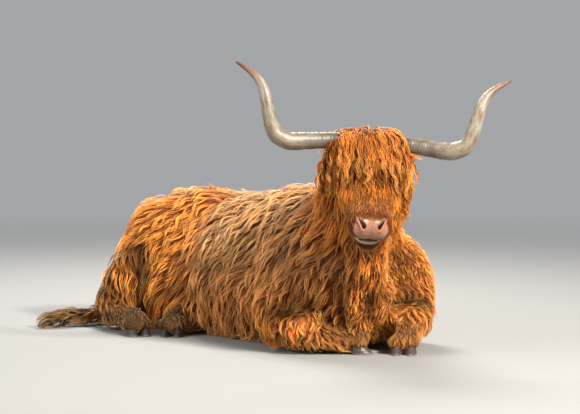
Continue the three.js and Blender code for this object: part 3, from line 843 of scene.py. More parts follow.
# ---------------------------------------------------------------- an unwrap of the skin
bpy.ops.object.select_all(action="DESELECT")
skin.select_set(True)
skin.data.uv_layers.new(name="OFBake")
bpy.ops.object.mode_set(mode="EDIT")
bpy.ops.mesh.select_all(action="SELECT")
bpy.ops.uv.smart_project(angle_limit=math.radians(66), island_margin=0.002)
bpy.ops.object.mode_set(mode="OBJECT")
at = points_of(skin.data)
out = normals_of(skin.data)
tri = triangles_of(skin.data)
tri_loops = get(skin.data.loop_triangles, "loops", 3, np.int32)
tri_uv = get(skin.data.uv_layers["OFBake"].data, "uv", 2)[tri_loops]
# What the hair lies on: the skin, then the horns and the claws.
under_at, under_out, under_tri = [at], [out], [tri]
for piece in HORNY_PIECES:
    under_tri.append(triangles_of(piece.data) + sum(len(some) for some in under_at))
    under_at.append(points_of(piece.data))
    under_out.append(normals_of(piece.data))
under_at, under_out, under_tri = (np.concatenate(some) for some in (under_at, under_out, under_tri))
tree = BVHTree.FromPolygons(under_at.tolist(), under_tri.tolist())
tri_out = unit(under_out[under_tri].mean(1))


def nearest(points):
    """The nearest place to each point on what the hair lies on, and the triangle it is on."""
    found = [tree.find_nearest(p) for p in points.reshape(-1, 3).tolist()]
    place = np.array([f[0] for f in found])
    index = np.array([f[2] for f in found])
    return place.reshape(points.shape), index.reshape(points.shape[:-1])


# ---------------------------------------------------------------- how the coat lies
# The line of the back, from the poll to the tail.
RIDGE = mm([-200, -765, 0], [-60, -480, 0], [-35, -330, 0], [-30, 100, 0], [-30, 480, 0], [-100, 780, 0],
           [-160, 950, 0])
# The middle lines of the limbs and the tail, towards the hoof or the tip.
LINES = {
    "foreleg_left_forearm": mm([235, -470, 150], [130, -620, 140], [70, -690, 130]),
    "foreleg_right_forearm": mm([-330, -290, 150], [-345, -420, 112], [-336, -500, 94]),
    "hindleg_right_shank": mm([-420, 750, 320], [-490, 775, 205], [-550, 805, 95]),
    "foreleg_left_cannon": mm([62, -700, 112], [32, -722, 78], [4, -742, 60]),
    "foreleg_right_cannon": mm([-318, -530, 62], [-255, -562, 50], [-186, -600, 46]),
    "hindleg_right_foot": mm([-560, 760, 62], [-580, 610, 56], [-592, 520, 66], [-598, 484, 60]),
    "hindleg_left_foot": mm([-330, 500, 62], [-420, 415, 60], [-460, 374, 56]),
    "tail_root": mm([-140, 890, 520], [-180, 985, 420], [-235, 1010, 280], [-300, 990, 160]),
    "tail_middle": mm([-300, 990, 158], [-400, 985, 68], [-500, 955, 52], [-590, 935, 50]),
    "tail_brush": mm([-590, 935, 52], [-690, 950, 48], [-770, 945, 40], [-850, 930, 28]),
}


def along_line(points, line):
    """The way that a line runs beside each point."""
    best = np.full(len(points), np.inf)
    way = np.zeros_like(points)
    for far, piece in pieces_beside(points, line):
        closer = far < best
        best[closer], way[closer] = far[closer], piece
    return way


face = face_of(at)
down, above_axis, from_middle = face[:, 1], face[:, 2], np.abs(face[:, 0])
place_on_head = head_of(at)
head_only = flesh("head")
left_share = np.clip(face[:, 0] / 0.15, -1.3, 1.3)[:, None]

# On the trunk and the neck the coat runs from the line of the back down and to the rear.
ridge_x = np.interp(at[:, 1], RIDGE[:, 1], RIDGE[:, 0])
aside = np.clip((at[:, 0] - ridge_x) / 0.2, -1, 1)
lie = np.stack([0.8 * aside, np.full(len(at), 0.6), np.full(len(at), -1.0)], -1)
breast = smooth(-out[:, 1], 0.2, 0.7) * (at[:, 1] < -0.3)
lie[:, 1] -= 0.6 * breast
for name, line in LINES.items():
    here = flesh(name)
    sag = 0.25 if any(k in name for k in ("tail", "foot", "cannon")) else 0.45
    lie[here] = along_line(at[here], line) + sag * DOWN
# On the head it runs down the face and outward, down the cheeks, and over the nape to the rear.
head_lie = FACE_DOWN + 0.5 * left_share * FACE_LEFT
head_lie += smooth(from_middle, 0.10, 0.16)[:, None] * 1.2 * DOWN
head_lie += smooth(-above_axis, 0.03, 0.10)[:, None] * (0.8 * DOWN - 0.9 * FACE_DOWN)
nape = smooth(-place_on_head[:, 1], 0.075, 0.12)[:, None]
head_lie = head_lie * (1 - nape) + nape * (0.5 * left_share * FACE_LEFT + head_way(0, -1, -0.8))
lie = np.where(is_head[:, None], head_lie, lie)
lie[flesh("ear")] = DOWN
# Round the top of each claw it hangs out over the claw.
claw_places = np.array([claw_frame(*claw)[0] for claw in CLAWS])
from_claw = at[:, None, :2] - claw_places[None, :, :2]
from_claw = from_claw[np.arange(len(at)), (from_claw**2).sum(-1).argmin(1)]
claw_far = np.linalg.norm(from_claw, axis=1)
over_claw = (1 - smooth(claw_far, 0.045, 0.070)) * (1 - smooth(at[:, 2], 0.070, 0.095))
over_claw *= flesh("foot", "cannon")
away = np.concatenate([from_claw / np.maximum(claw_far, 1e-6)[:, None], np.full((len(at), 1), -0.7)], 1)
lie = lie + over_claw[:, None] * (away - lie)
net = Net(skin.data)


def on_skin(ways):
    return unit(ways - (ways * out).sum(1, keepdims=True) * out)


lie = on_skin(net.even(on_skin(unit(lie)), 14))
# Slow swirls turn it a little each way.
swirl = 0.42 * waves(at, 0.55, 0.16, 14, 5) * (1 - 0.7 * flesh("head", "muzzle", "ear", "foot", "cannon"))
lie = lie * np.cos(swirl)[:, None] + np.cross(out, lie) * np.sin(swirl)[:, None]

# On each kind of part: length of the locks, room between them, their width, height over the skin,
# how closely they follow it, and how far they wave.
COATS = {
    "trunk_chest": (0.140, 0.0240, 0.0037, 0.034, 0.84, 0.0095),
    "trunk_belly": (0.150, 0.0245, 0.0038, 0.038, 0.86, 0.0105),
    "trunk_rump": (0.125, 0.0245, 0.0037, 0.030, 0.88, 0.0085),
    "neck": (0.150, 0.0210, 0.0034, 0.036, 0.78, 0.0085),
    "head": (0.150, 0.0160, 0.0028, 0.026, 0.74, 0.0060),
    "muzzle": (0.020, 0.0068, 0.0014, 0.003, 0.95, 0.0006),
    "ear": (0.080, 0.0150, 0.0028, 0.003, 0.66, 0.0035),
    "forearm": (0.085, 0.0190, 0.0033, 0.026, 0.88, 0.0090),
    "shank": (0.115, 0.0195, 0.0035, 0.036, 0.82, 0.0080),
    "cannon": (0.050, 0.0125, 0.0021, 0.010, 0.90, 0.0024),
    "foot": (0.040, 0.0115, 0.0019, 0.009, 0.92, 0.0015),
    "tail_root": (0.120, 0.0180, 0.0034, 0.020, 0.78, 0.0070),
    "tail_middle": (0.150, 0.0175, 0.0034, 0.018, 0.82, 0.0110),
    "tail_brush": (0.180, 0.0165, 0.0034, 0.024, 0.75, 0.0140),
}
LENGTH, ROOM, WIDTH, HEIGHT, CLING, WAVE = range(6)
coat = np.array([COATS[kind_of(n, COATS)] for n in FLESH])[owner]
# Down the face it gets shorter, closer, finer, lower and straighter; less so on the jaw.
jaw = smooth(-above_axis, 0.05, 0.10)
share = np.interp(down, [0.0, 0.06, 0.13, 0.20, 0.26, 0.32, 0.36], [1.0, 0.95, 0.66, 0.46, 0.36, 0.27, 0.18])
coat[:, LENGTH] *= np.where(head_only, share + (1 - share) * 0.5 * jaw, 1)
for column, values in ((ROOM, [0.0195, 0.0145, 0.0095, 0.0075]), (WIDTH, [0.0030, 0.0026, 0.0020, 0.0015])):
    coat[:, column] = np.where(head_only, np.interp(down, [0.05, 0.15, 0.25, 0.32], values), coat[:, column])
share = np.interp(down, [-0.02, 0.05, 0.15, 0.25, 0.33], [0.45, 0.9, 0.8, 0.4, 0.15])
coat[:, HEIGHT] *= np.where(head_only, share, 1)
coat[:, WAVE] *= np.where(head_only, np.interp(down, [0.05, 0.2, 0.3], [1.0, 0.5, 0.1]), 1)
beard = is_head * smooth(-above_axis, 0.095, 0.125) * smooth(down, 0.25, 0.33)
coat[:, LENGTH] += 0.035 * beard
coat[:, CLING] -= 0.4 * beard
# On the front of the neck and the breast it is short and close, down to between the knees.
BREAST = (0.046, 0.0135, 0.0028, 0.012, 0.92, 0.0042)
brisket = smooth(-out[:, 1], 0.0, 0.45) * (at[:, 1] < -0.42) * smooth(0.66 - at[:, 2], 0.0, 0.10)
brisket *= smooth(at[:, 0] - SHIFT[0], -0.235, -0.185) * flesh("neck", "trunk_chest")
coat += brisket[:, None] * (np.array(BREAST) - coat)
# Low on the body the hair hangs to the floor instead of clinging underneath.
hang = smooth(0.34 - at[:, 2], 0.0, 0.14) * flesh("trunk_belly", "trunk_rump", "trunk_chest", "forearm")
hang *= 1 - breast * smooth(at[:, 2], 0.10, 0.16)
coat[:, CLING] -= 0.45 * hang
# Beside the face it lies closer.
temple = smooth(from_middle, 0.11, 0.15) * head_only
coat[:, HEIGHT] *= 1 - 0.55 * temple
# Behind the right thigh it hangs down to the floor.
rear = (at - SHIFT)[:, 1]
hollow = between(rear, 0.42, 0.50, 0.70, 0.78) * smooth(0.26 - at[:, 2], 0.0, 0.10)
hollow *= flesh("trunk") * (at[:, 0] < SHIFT[0])
coat[:, LENGTH] += 0.09 * hollow
# In the grooves of the skin it is short and close, and on the knees too.
groove, swelling = near_folds(at, -1, 1.1), near_folds(at, 1, 1.2) * flesh("foreleg", "trunk_chest", "neck")
knees = swelling * (at[:, 2] < 0.20)
coat[:, LENGTH] *= 1 - 0.45 * groove
coat[:, HEIGHT] *= (1 - 0.65 * groove) * (1 - 0.55 * knees)
coat[:, LENGTH] -= 0.028 * knees
coat[:, ROOM] *= 1 - 0.28 * knees
# Stubble on the upper lip, and the fringe over the claws.
STUBBLE = (0.008, 0.0062, 0.0011, 0.0015, 0.95, 0.0)
FRINGE = (0.050, 0.0080, 0.0018, 0.007, 0.80, 0.0020)
coat += stubble[:, None] * (np.array(STUBBLE) - coat)
coat += over_claw[:, None] * (np.array(FRINGE) - coat)
coat = net.even(coat, 10)
tail_tip = np.linalg.norm(at - LINES["tail_brush"][-1], axis=1)
longest = np.where(flesh("tail_brush"), 0.045 + 0.9 * tail_tip, np.inf)
coat[:, LENGTH] = np.minimum(coat[:, LENGTH], longest)
SHORT = 0.062  # locks shorter than this have fewer steps

# ---------------------------------------------------------------- colours
# The hair's roots, lengths and tips on each kind of part.
TONES = {
    "trunk_chest": ((0.15, 0.042, 0.010), (0.66, 0.260, 0.063), (1.06, 0.57, 0.18)),
    "trunk_belly": ((0.15, 0.052, 0.018), (0.58, 0.255, 0.092), (0.98, 0.58, 0.27)),
    "trunk_rump": ((0.20, 0.058, 0.012), (0.74, 0.305, 0.072), (1.12, 0.66, 0.23)),
    "neck": ((0.11, 0.026, 0.005), (0.50, 0.170, 0.032), (0.88, 0.42, 0.10)),
    "head": ((0.09, 0.018, 0.003), (0.43, 0.130, 0.017), (0.80, 0.36, 0.068)),
    "muzzle": ((0.16, 0.050, 0.012), (0.38, 0.145, 0.042), (0.64, 0.33, 0.12)),
    "ear": ((0.12, 0.028, 0.006), (0.48, 0.155, 0.028), (0.82, 0.38, 0.10)),
    "forearm": ((0.22, 0.084, 0.026), (0.74, 0.350, 0.110), (1.02, 0.66, 0.29)),
    "shank": ((0.070, 0.024, 0.007), (0.27, 0.115, 0.032), (0.48, 0.25, 0.08)),
    "cannon": ((0.14, 0.062, 0.024), (0.42, 0.200, 0.075), (0.66, 0.38, 0.17)),
    "foot": ((0.11, 0.062, 0.034), (0.30, 0.180, 0.095), (0.50, 0.34, 0.20)),
    "tail_root": ((0.10, 0.032, 0.008), (0.42, 0.165, 0.042), (0.70, 0.36, 0.11)),
    "tail_middle": ((0.055, 0.026, 0.010), (0.22, 0.115, 0.045), (0.45, 0.26, 0.11)),
    "tail_brush": ((0.045, 0.022, 0.010), (0.17, 0.095, 0.040), (0.38, 0.24, 0.12)),
}
# On the back and the upper flank, where the sun bleaches it, and on the upper lip.
BLEACHED = np.array([0.14, 0.056, 0.018, 0.53, 0.260, 0.095, 0.90, 0.54, 0.25])
STUBBLE_TONES = np.array([0.14, 0.09, 0.055, 0.34, 0.22, 0.135, 0.62, 0.46, 0.32])
TONE_SHIFT = np.tile([1.15, 0.98, 0.68], 3)  # redder
tones = np.array([TONES[kind_of(n, TONES)] for n in FLESH])[owner].reshape(-1, 9) * TONE_SHIFT
sun = smooth(out[:, 2], -0.35, 0.30) * smooth(at[:, 2], 0.18, 0.50) * flesh("trunk_chest", "trunk_belly")
sun *= 0.85 + 0.25 * waves(at, 0.5, 0.15, 10, 8)
# The left shoulder and the neck stay red.
sun *= 1 - smooth(at[:, 0] - SHIFT[0], 0.0, 0.14) * (1 - smooth(at[:, 1], -0.32, -0.05))
tones += np.clip(sun, 0, 1)[:, None] * (BLEACHED - tones)
# Painted shade: the trunk's hair is darker low down.
shade = smooth(0.30 - at[:, 2], 0.0, 0.25) * flesh("trunk")
tones *= (1 - 0.10 * shade)[:, None]
# Painted shade darkens the grooves, under the chin and the sides of the muzzle, and the hair round the top of
# the nose pad is darker; painted light lightens the swellings and the knees; the face is streaked.
under_chin = is_head * between(-above_axis, 0.086, 0.096, 0.104, 0.128) * smooth(down, 0.34, 0.37)
round_nose = is_head * bell(down - 0.358, 0.016) * smooth(above_axis, -0.06, -0.03)
beside_nose = is_head * smooth(down, 0.32, 0.36) * smooth(from_middle, 0.055, 0.072)
round_nose = np.maximum(round_nose, beside_nose)
tones *= (1 - round_nose[:, None] * np.tile([0.45, 0.62, 0.70], 3))
tones *= ((1 - 0.40 * groove) * (1 - 0.70 * under_chin) * (1 + 0.30 * swelling))[:, None]
tones *= 1 + knees[:, None] * np.tile([0.28, 0.36, 0.48], 3)
tones += stubble[:, None] * (STUBBLE_TONES - tones)
# The forehead's own hair, under the forelock, is darker: painted shade beneath the forelock.
brow = head_only * between(down, 0.04, 0.10, 0.17, 0.24) * (1 - smooth(from_middle, 0.11, 0.14))
brow = brow * smooth(above_axis, -0.05, 0.0)
tones *= (1 - 0.55 * brow)[:, None]
streaks = waves(at * np.array([1.0, 1.0, 0.4]), 0.045, 0.012, 14, 9)
tones *= (1 + 0.22 * streaks * head_only)[:, None]
tones = net.even(tones, 6)


def tone(tones, t):
    """Colour along a hair from its root, t 0, to its tip, t 1."""
    root, length, tip = tones[..., 0:3], tones[..., 3:6], tones[..., 6:9]
    a, b = smooth(t, 0.02, 0.45)[..., None], smooth(t, 0.35, 1.0)[..., None]
    return (root + (length - root) * a) * (1 - b) + tip * b


# ---------------------------------------------------------------- locks of hair
TRIES, APART = 3.2, 0.80  # places tried for each one wanted, and their least distance to the mean one
STRAND_LOWEST, LOCK_LOWEST = 0.0035, 0.004
ROOT_DEPTH = 0.0015
LOCK_SPREAD = 0.66  # of the room between locks
STRAND_FLATNESS = 0.62
DARKEST, LIGHTEST = 0.30, 1.45


def scatter(density):
    """Places on the skin, about so many to a square metre at each vertex, kept apart from each other."""
    corner = at[tri]
    area = 0.5 * np.linalg.norm(np.cross(corner[:, 1] - corner[:, 0], corner[:, 2] - corner[:, 0]), axis=1)
    want = area * density[tri].mean(1)
    tries = int(TRIES * want.sum())
    pick = rng.choice(len(tri), tries, p=want / want.sum())
    weights = rng.dirichlet((1, 1, 1), tries)
    places = (corner[pick] * weights[..., None]).sum(1)
    apart = APART / np.sqrt(density[tri[pick]].max(1))
    near = KDTree(tries)
    for i, p in enumerate(places.tolist()):
        near.insert(p, i)
    near.balance()
    alive = np.ones(tries, bool)
    for i, (p, r) in enumerate(zip(places.tolist(), apart.tolist())):
        if alive[i]:
            for _, j, _ in near.find_range(p, r):
                if j > i:
                    alive[j] = False
    keep = np.flatnonzero(alive)
    return pick[keep], weights[keep]


def grow(roots, ways, length, height, cling, wave, wavelength, phase, steps, rise):
    """Paths of hair over the skin: each keeps near its height where it clings, and falls where it doesn't."""
    path = np.empty((len(roots), steps + 1, 3))
    normal = np.empty_like(path)
    _, index = nearest(roots)
    n = tri_out[index]
    way = unit(ways + rise * n)
    step = (length / steps)[:, None]
    p = roots.copy()
    path[:, 0], normal[:, 0] = p, n
    clings = cling[:, None]
    for k in range(1, steps + 1):
        t = k / steps
        flow = unit(under_lie[under_tri[index]].mean(1))
        way = unit(0.5 * way + 0.5 * unit(clings * flow + (1 - clings) * 1.2 * DOWN))
        p = p + way * step
        place, index = nearest(p)
        n = tri_out[index]
        above = ((p - place) * n).sum(1)
        want = height * (1.15 * smooth(t, 0.0, 0.5) - 0.25 * smooth(t, 0.55, 1.0))
        p = p + n * np.where(above < want, want - above, cling * 0.7 * (want - above))[:, None]
        under = np.maximum(LOCK_LOWEST + 0.35 * height - p[:, 2], 0)
        p[:, 2] += under
        p[:, :2] += n[:, :2] * under[:, None] * 0.8
        path[:, k], normal[:, k] = p, n
    t = np.linspace(0, 1, steps + 1)[None, :]
    swing = phase[:, None] + 2 * np.pi * t * (length / wavelength)[:, None]
    size = wave[:, None] * smooth(t, 0.0, 0.4) * (0.8 + 0.5 * t)
    side = unit(np.cross(normal, unit(np.gradient(path, axis=1))))
    path = path + side * (size * np.sin(swing))[..., None]
    path = path + normal * (0.45 * size * (1 + np.cos(swing)))[..., None]
    path[..., 2] = np.maximum(path[..., 2], LOCK_LOWEST)
    return path, normal


def part_locks(path, normal, count, room, width, gather):
    """Each lock's path becomes so many strands, apart at the root and drawn together towards the tip."""
    locks, points = path.shape[:2]
    side = unit(np.cross(normal[:, 0], unit(path[:, 1] - path[:, 0])))
    fore = np.cross(side, normal[:, 0])
    angle = rng.uniform(0, 2 * np.pi, (locks, count))
    reach = room[:, None] * LOCK_SPREAD * np.sqrt(rng.uniform(0.03, 1, (locks, count)))
    shift = round_about(0, side[:, None], fore[:, None], reach, angle)
    t = np.linspace(0, 1, points)
    drawn = 1 - (1 - gather[:, None]) * smooth(t, 0.0, 0.9)[None]
    many = path[:, None] + shift[:, :, None] * drawn[:, None, :, None]
    # A shorter strand follows its lock's path only so far.
    reach = np.clip(t * rng.uniform(0.72, 1.0, (locks, count, 1)), 0, 1) * (points - 1)
    low = np.clip(reach.astype(int), 0, points - 2)
    part = (reach - low)[..., None]
    lock, strand = np.arange(locks)[:, None, None], np.arange(count)[None, :, None]
    many = many[lock, strand, low] * (1 - part) + many[lock, strand, low + 1] * part
    loose = width[:, None, None, None] * np.sin(np.pi * 0.6 * t)[None, None, :, None]
    many = many + normal[:, None] * rng.uniform(-0.8, 0.8, (locks, count, 1, 1)) * loose
    many = many + side[:, None, None] * rng.normal(0, 0.9, (locks, count, 1, 1)) * loose
    return many.reshape(-1, points, 3), np.repeat(normal, count, 0)


def clear_of_skin(paths, clearance):
    """Lifts the strands' points out of the skin, and sets their roots just under it."""
    place, index = nearest(paths)
    n = tri_out[index]
    above = ((paths - place) * n).sum(-1)
    lift = np.maximum(clearance - above, 0)
    lift[:, 0] = -ROOT_DEPTH - above[:, 0]
    paths = paths + n * lift[..., None]
    paths[..., 2] = np.maximum(paths[..., 2], STRAND_LOWEST)
    return paths


def tube_faces(rings):
    """Faces of a closed three-sided tube that ends in a point, and the corners' places around and along."""
    corners, sizes, places = [], [], []
    for i in range(rings - 1):
        for s in range(3):
            a, b = i * 3 + s, i * 3 + (s + 1) % 3
            corners += [a, b, b + 3, a + 3]
            sizes.append(4)
            places += [(s, i), (s + 1, i), (s + 1, i + 1), (s, i + 1)]
    last = (rings - 1) * 3
    for s in range(3):
        corners += [last + s, last + (s + 1) % 3, rings * 3]
        sizes.append(3)
        places += [(s, rings - 1), (s + 1, rings - 1), (s + 0.5, rings)]
    corners += [2, 1, 0]
    sizes.append(3)
    places += [(2, 0), (1, 0), (0, 0)]
    return np.array(corners), np.array(sizes), np.array(places) / [3.0, rings]


def triangles_each(rings):
    return 6 * (rings - 1) + 4


PATCH = 0.003  # side of a strand's patch on the skin's unwrap


def add_coat(name, slot, paths, normals, width, tints, spots):
    """Strands as closed three-sided tapering tubes, one mesh. Spots are their places on the skin's unwrap."""
    count, points = paths.shape[:2]
    rings = points - 1
    tangent = unit(np.gradient(paths, axis=1))
    side = unit(np.cross(normals, tangent))
    rise = unit(np.cross(tangent, side))
    t = np.linspace(0, 1, points)[:rings]
    swell = (0.55 + 0.45 * smooth(t, 0, 0.25)) * (1 - 0.75 * smooth(t, 0.35, 1.0))
    half = (0.5 * width[:, None] * swell[None])[:, :, None]
    start, side, rise = (values[:, :rings, None] for values in (paths, side, rise))
    ring = round_about(start, side, rise, half, np.radians([90, 210, 330]), STRAND_FLATNESS)
    places = np.concatenate([ring.reshape(count, rings * 3, 3), paths[:, -1:]], 1)
    per = rings * 3 + 1
    corners, sizes, around = tube_faces(rings)
    base = np.arange(count)[:, None]
    mesh = bpy.data.meshes.new(name)
    mesh.vertices.add(count * per)
    fill(mesh.vertices, "co", places)
    mesh.loops.add(count * len(corners))
    fill(mesh.loops, "vertex_index", corners[None] + base * per, np.int32)
    starts = np.concatenate([[0], np.cumsum(sizes)[:-1]])[None] + base * sizes.sum()
    mesh.polygons.add(starts.size)
    fill(mesh.polygons, "loop_start", starts, np.int32)
    fill(mesh.uv_layers.new(name="OFBake").data, "uv", spots[:, None] + PATCH * (around - 0.5))
    own = np.stack([rng.uniform(0, 50, count), np.zeros(count)], -1)[:, None]
    fill(mesh.uv_layers.new(name="Strand").data, "uv", around + own)
    mesh.update(calc_edges=True)
    mesh.shade_smooth()
    tint = np.concatenate([np.repeat(tints[:, :rings], 3, axis=1), tints[:, -1:]], 1)
    set_tint(mesh, tint.reshape(-1, 3))
    mesh.materials.append(hair_paint)
    obj = add_object(name, mesh)
    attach(obj, "root")


def hair_material():
    paint, nodes, shader = new_paint("hair", 0.5, 0.22)
    uv = node(nodes, "UVMap", uv_map="Strand")
    stretch = node(nodes, "Mapping", {"Vector": uv.outputs["UV"], "Scale": (9.0, 1.6, 1.0)})
    streak = noise(nodes, stretch.outputs["Vector"], 1.0, 2.0)
    colour = tint_times(nodes, ranged(nodes, streak, 0.3, 0.7, 0.72, 1.22))
    finish_paint(nodes, shader, colour, streak, 0.5, 0.0008)
    return paint


hair_paint = hair_material()

# ---------------------------------------------------------------- the coat
def at_roots(values, pick, weights):
    corner = values[tri[pick]]
    return (corner * weights.reshape(weights.shape + (1,) * (corner.ndim - 2))).sum(1)


# The pieces of the coat: their slot, and the solids of flesh that they cover.
COAT_PARTS = {
    "chest": ("coat_body", ["trunk_chest"]),
    "belly": ("coat_body", ["trunk_belly"]),
    "rump": ("coat_rump", ["trunk_rump"]),
    "neck": ("coat_body", ["neck"]),
    "head": ("coat_head", ["head", "muzzle", "ear"]),
    "legs": ("coat_limb", ["leg"]),
    "tail": ("coat_tail", ["tail"]),
}
MOST_TRIANGLES = 190000  # in one piece
MOST_DRAWN = 0.94


def draw_together(path, roots, each, pull, drawn_by):
    """The locks draw towards one of every so many beside them, more and more up to a share of their way."""
    leaders = rng.choice(len(path), max(1, len(path) // each), replace=False)
    near = KDTree(len(leaders))
    for i, leader in enumerate(leaders):
        near.insert(roots[leader], i)
    near.balance()
    found = [near.find(p)[1:] for p in roots.tolist()]
    leader = leaders[[f[0] for f in found]]
    close = 1 - smooth(np.array([f[1] for f in found]), 0.05, 0.09)
    t = np.linspace(0, 1, path.shape[1])
    share = np.minimum(pull * rng.uniform(0.6, 1.2, len(path)), MOST_DRAWN) * close
    return path + (share[:, None] * smooth(t, 0.1, drawn_by))[..., None] * (path[leader] - path)


def add_locks(
    label, pick, weights, steps, count, gather=(0.2, 0.6), rise=0.5, each=6, pull=0.5, drawn_by=1.0,
    uneven=0.2, depth=0.56, longest=0.115,
):
    """Grows a coat from places on the skin, as pieces for each part of the body.

    Each lock has so many steps and a count of strands, which gather to a share of their spread. The locks
    rise from the skin, and draw towards one in each so many. Uneven and depth say how much the shade
    differs from place to place and from the undermost lock to the topmost; longest is for the waves."""
    roots = at_roots(at, pick, weights)
    here = at_roots(coat, pick, weights)
    total = len(roots)
    length = here[:, LENGTH] * rng.uniform(0.72, 1.2, total)
    layer = rng.uniform(0.22, 1.0, total)
    height = here[:, HEIGHT] * layer
    wave = here[:, WAVE] * rng.uniform(0.5, 1.3, total)
    wavelength = np.clip(here[:, LENGTH] * 0.85, 0.035, longest) * (1 + 0.2 * waves(roots, 0.5, 0.2, 8, 21))
    phase = 4.0 * waves(roots, 0.30, 0.09, 12, 22) + rng.normal(0, 0.5, total)
    cling = np.clip(here[:, CLING] + rng.normal(0, 0.06, total), 0.1, 1)
    ways = unit(unit(at_roots(lie, pick, weights)) + rng.normal(0, 0.14, (total, 3)))
    path, normal = grow(roots, ways, length, height, cling, wave, wavelength, phase, steps, rise)
    path = draw_together(path, roots, each, pull, drawn_by)
    drawn = rng.uniform(*gather, total)
    paths, normals = part_locks(path, normal, count, here[:, ROOM], here[:, WIDTH], drawn)
    t = np.linspace(0, 1, steps + 1)[None]
    paths = clear_of_skin(paths, t * np.minimum(0.004, 0.1 * np.repeat(length, count))[:, None])
    # The upper layers are lighter and the undermost darker, painted shade beneath them; locks and strands also
    # differ at random.
    patchy = 1 + uneven * waves(roots, 0.13, 0.035, 16, 23)
    shade = np.repeat(rng.normal(1.0, 0.16, total) * patchy * (1.14 - depth + depth * layer), count)
    shade *= rng.normal(1.0, 0.12, len(paths))
    lag = np.repeat(rng.normal(0, 0.12, total), count)[:, None]
    own_tones = np.repeat(at_roots(tones, pick, weights), count, 0)[:, None]
    tints = tone(own_tones, np.clip(t + lag * t, 0, 1)) * np.clip(shade, DARKEST, LIGHTEST)[:, None, None]
    # Painted shade: strands darken where they pass near a groove of the skin.
    in_groove = near_folds(paths.reshape(-1, 3), -1, 1.7).reshape(paths.shape[:2])
    tints = tints * (1 - 0.55 * in_groove)[..., None]
    width = np.repeat(here[:, WIDTH], count) * rng.uniform(0.7, 1.25, len(paths))
    spots = np.repeat((tri_uv[pick] * weights[..., None]).sum(1), count, 0)
    part = np.repeat(owner[tri[pick, weights.argmax(1)]], count)
    strands = (paths, normals, width, tints, spots)
    for name, (slot, kinds) in COAT_PARTS.items():
        mine = np.flatnonzero(flesh(*kinds, of=part))
        if not len(mine):
            continue
        pieces = math.ceil(len(mine) * triangles_each(steps) / MOST_TRIANGLES)
        mine = mine[np.argsort(paths[mine, 0, 1], kind="stable")]
        for k, some in enumerate(np.array_split(mine, pieces)):
            add_coat(f"coat_{name}_{label}_{k + 1}", slot, *(values[some] for values in strands))


def lie_under():
    """The lie of the coat with, for the horns and claws, forward and down round them."""
    round_them = DOWN + 0.8 * head_way(0, 1, 0)
    horny_out = under_out[len(at):]
    return np.concatenate([lie, unit(round_them - (horny_out @ round_them)[:, None] * horny_out)])


under_lie = lie_under()
hidden = ((out[:, 2] < -0.7) & (at[:, 2] < 0.05)) | (at[:, 2] < 0.012)
open_skin = (bare < 0.3) & ~hidden & (lid_edge > 0.004)
density = np.where(open_skin, 1 / coat[:, ROOM] ** 2, 0)
is_short = coat[:, LENGTH] < SHORT
add_locks("long", *scatter(np.where(is_short, 0, 0.9 * density)), steps=7, count=5)
add_locks("short", *scatter(np.where(is_short, density, 0)), steps=4, count=4, pull=0.25)

# The forelock: long locks from between the horns that fall over the face.
crown = between(place_on_head[:, 1], -0.105, -0.085, 0.045, 0.075)
crown *= smooth(place_on_head[:, 2], -0.045, -0.02) * (from_middle < 0.152) * flesh("head", "neck")
crown = crown > 0.3
FORELOCK = (0.285, 0.0130, 0.0042, 0.020, 0.34, 0.0095)
FORELOCK_WAVELENGTH = 0.074
FORELOCK_TONES = ((0.30, 0.090, 0.016), (0.44, 0.148, 0.031), (0.86, 0.43, 0.13))
coat[crown] = FORELOCK
aside = left_share * (0.7 + 1.3 * smooth(np.abs(left_share), 0.6, 0.9))
lie = np.where(crown[:, None], unit(head_way(0, 1, -0.1) + aside * FACE_LEFT), lie)
under_lie = lie_under()
places = scatter(np.where(crown, 1 / FORELOCK[ROOM] ** 2, 0))
# Its roots are nearly as light as its lengths, so that the parting behind doesn't show.
tones[crown] = np.array(FORELOCK_TONES).ravel() * TONE_SHIFT
add_locks(
    "forelock", *places, steps=19, count=4, gather=(0.1, 0.3), rise=0.02, each=7, pull=1.0, drawn_by=0.62,
    uneven=0.3, depth=0.8, longest=FORELOCK_WAVELENGTH,
)

# ---------------------------------------------------------------- skin colours
# The skin takes the hair's colour near its roots, darkened as painted shade under the coat, and more in the
# grooves, also painted shade.
skin_tint = tone(tones, np.full(len(at), 0.16)) * [0.58, 0.50, 0.42] * (1 - 0.5 * groove)[:, None]
PAD_PINK, PAD_BROWN, PALE_EDGE_HIGHLIGHT, UPPER_LIP, LOWER_LIP, HOLLOW_SHADE, WING_PINK, LID_DARK = np.array([
    (0.38, 0.185, 0.115), (0.25, 0.072, 0.022), (0.80, 0.62, 0.52), (0.25, 0.165, 0.10),
    (0.50, 0.30, 0.19), (0.020, 0.007, 0.005), (0.48, 0.155, 0.10), (0.09, 0.05, 0.04),
])
edge, along, outer = nostril(face)
nose = np.repeat(PAD_PINK[None], len(at), 0)


def tinted(colour, towards, share):
    """A colour for each vertex, drawn towards another by a share."""
    return colour + (towards - colour) * np.clip(share, 0, 1)[:, None]


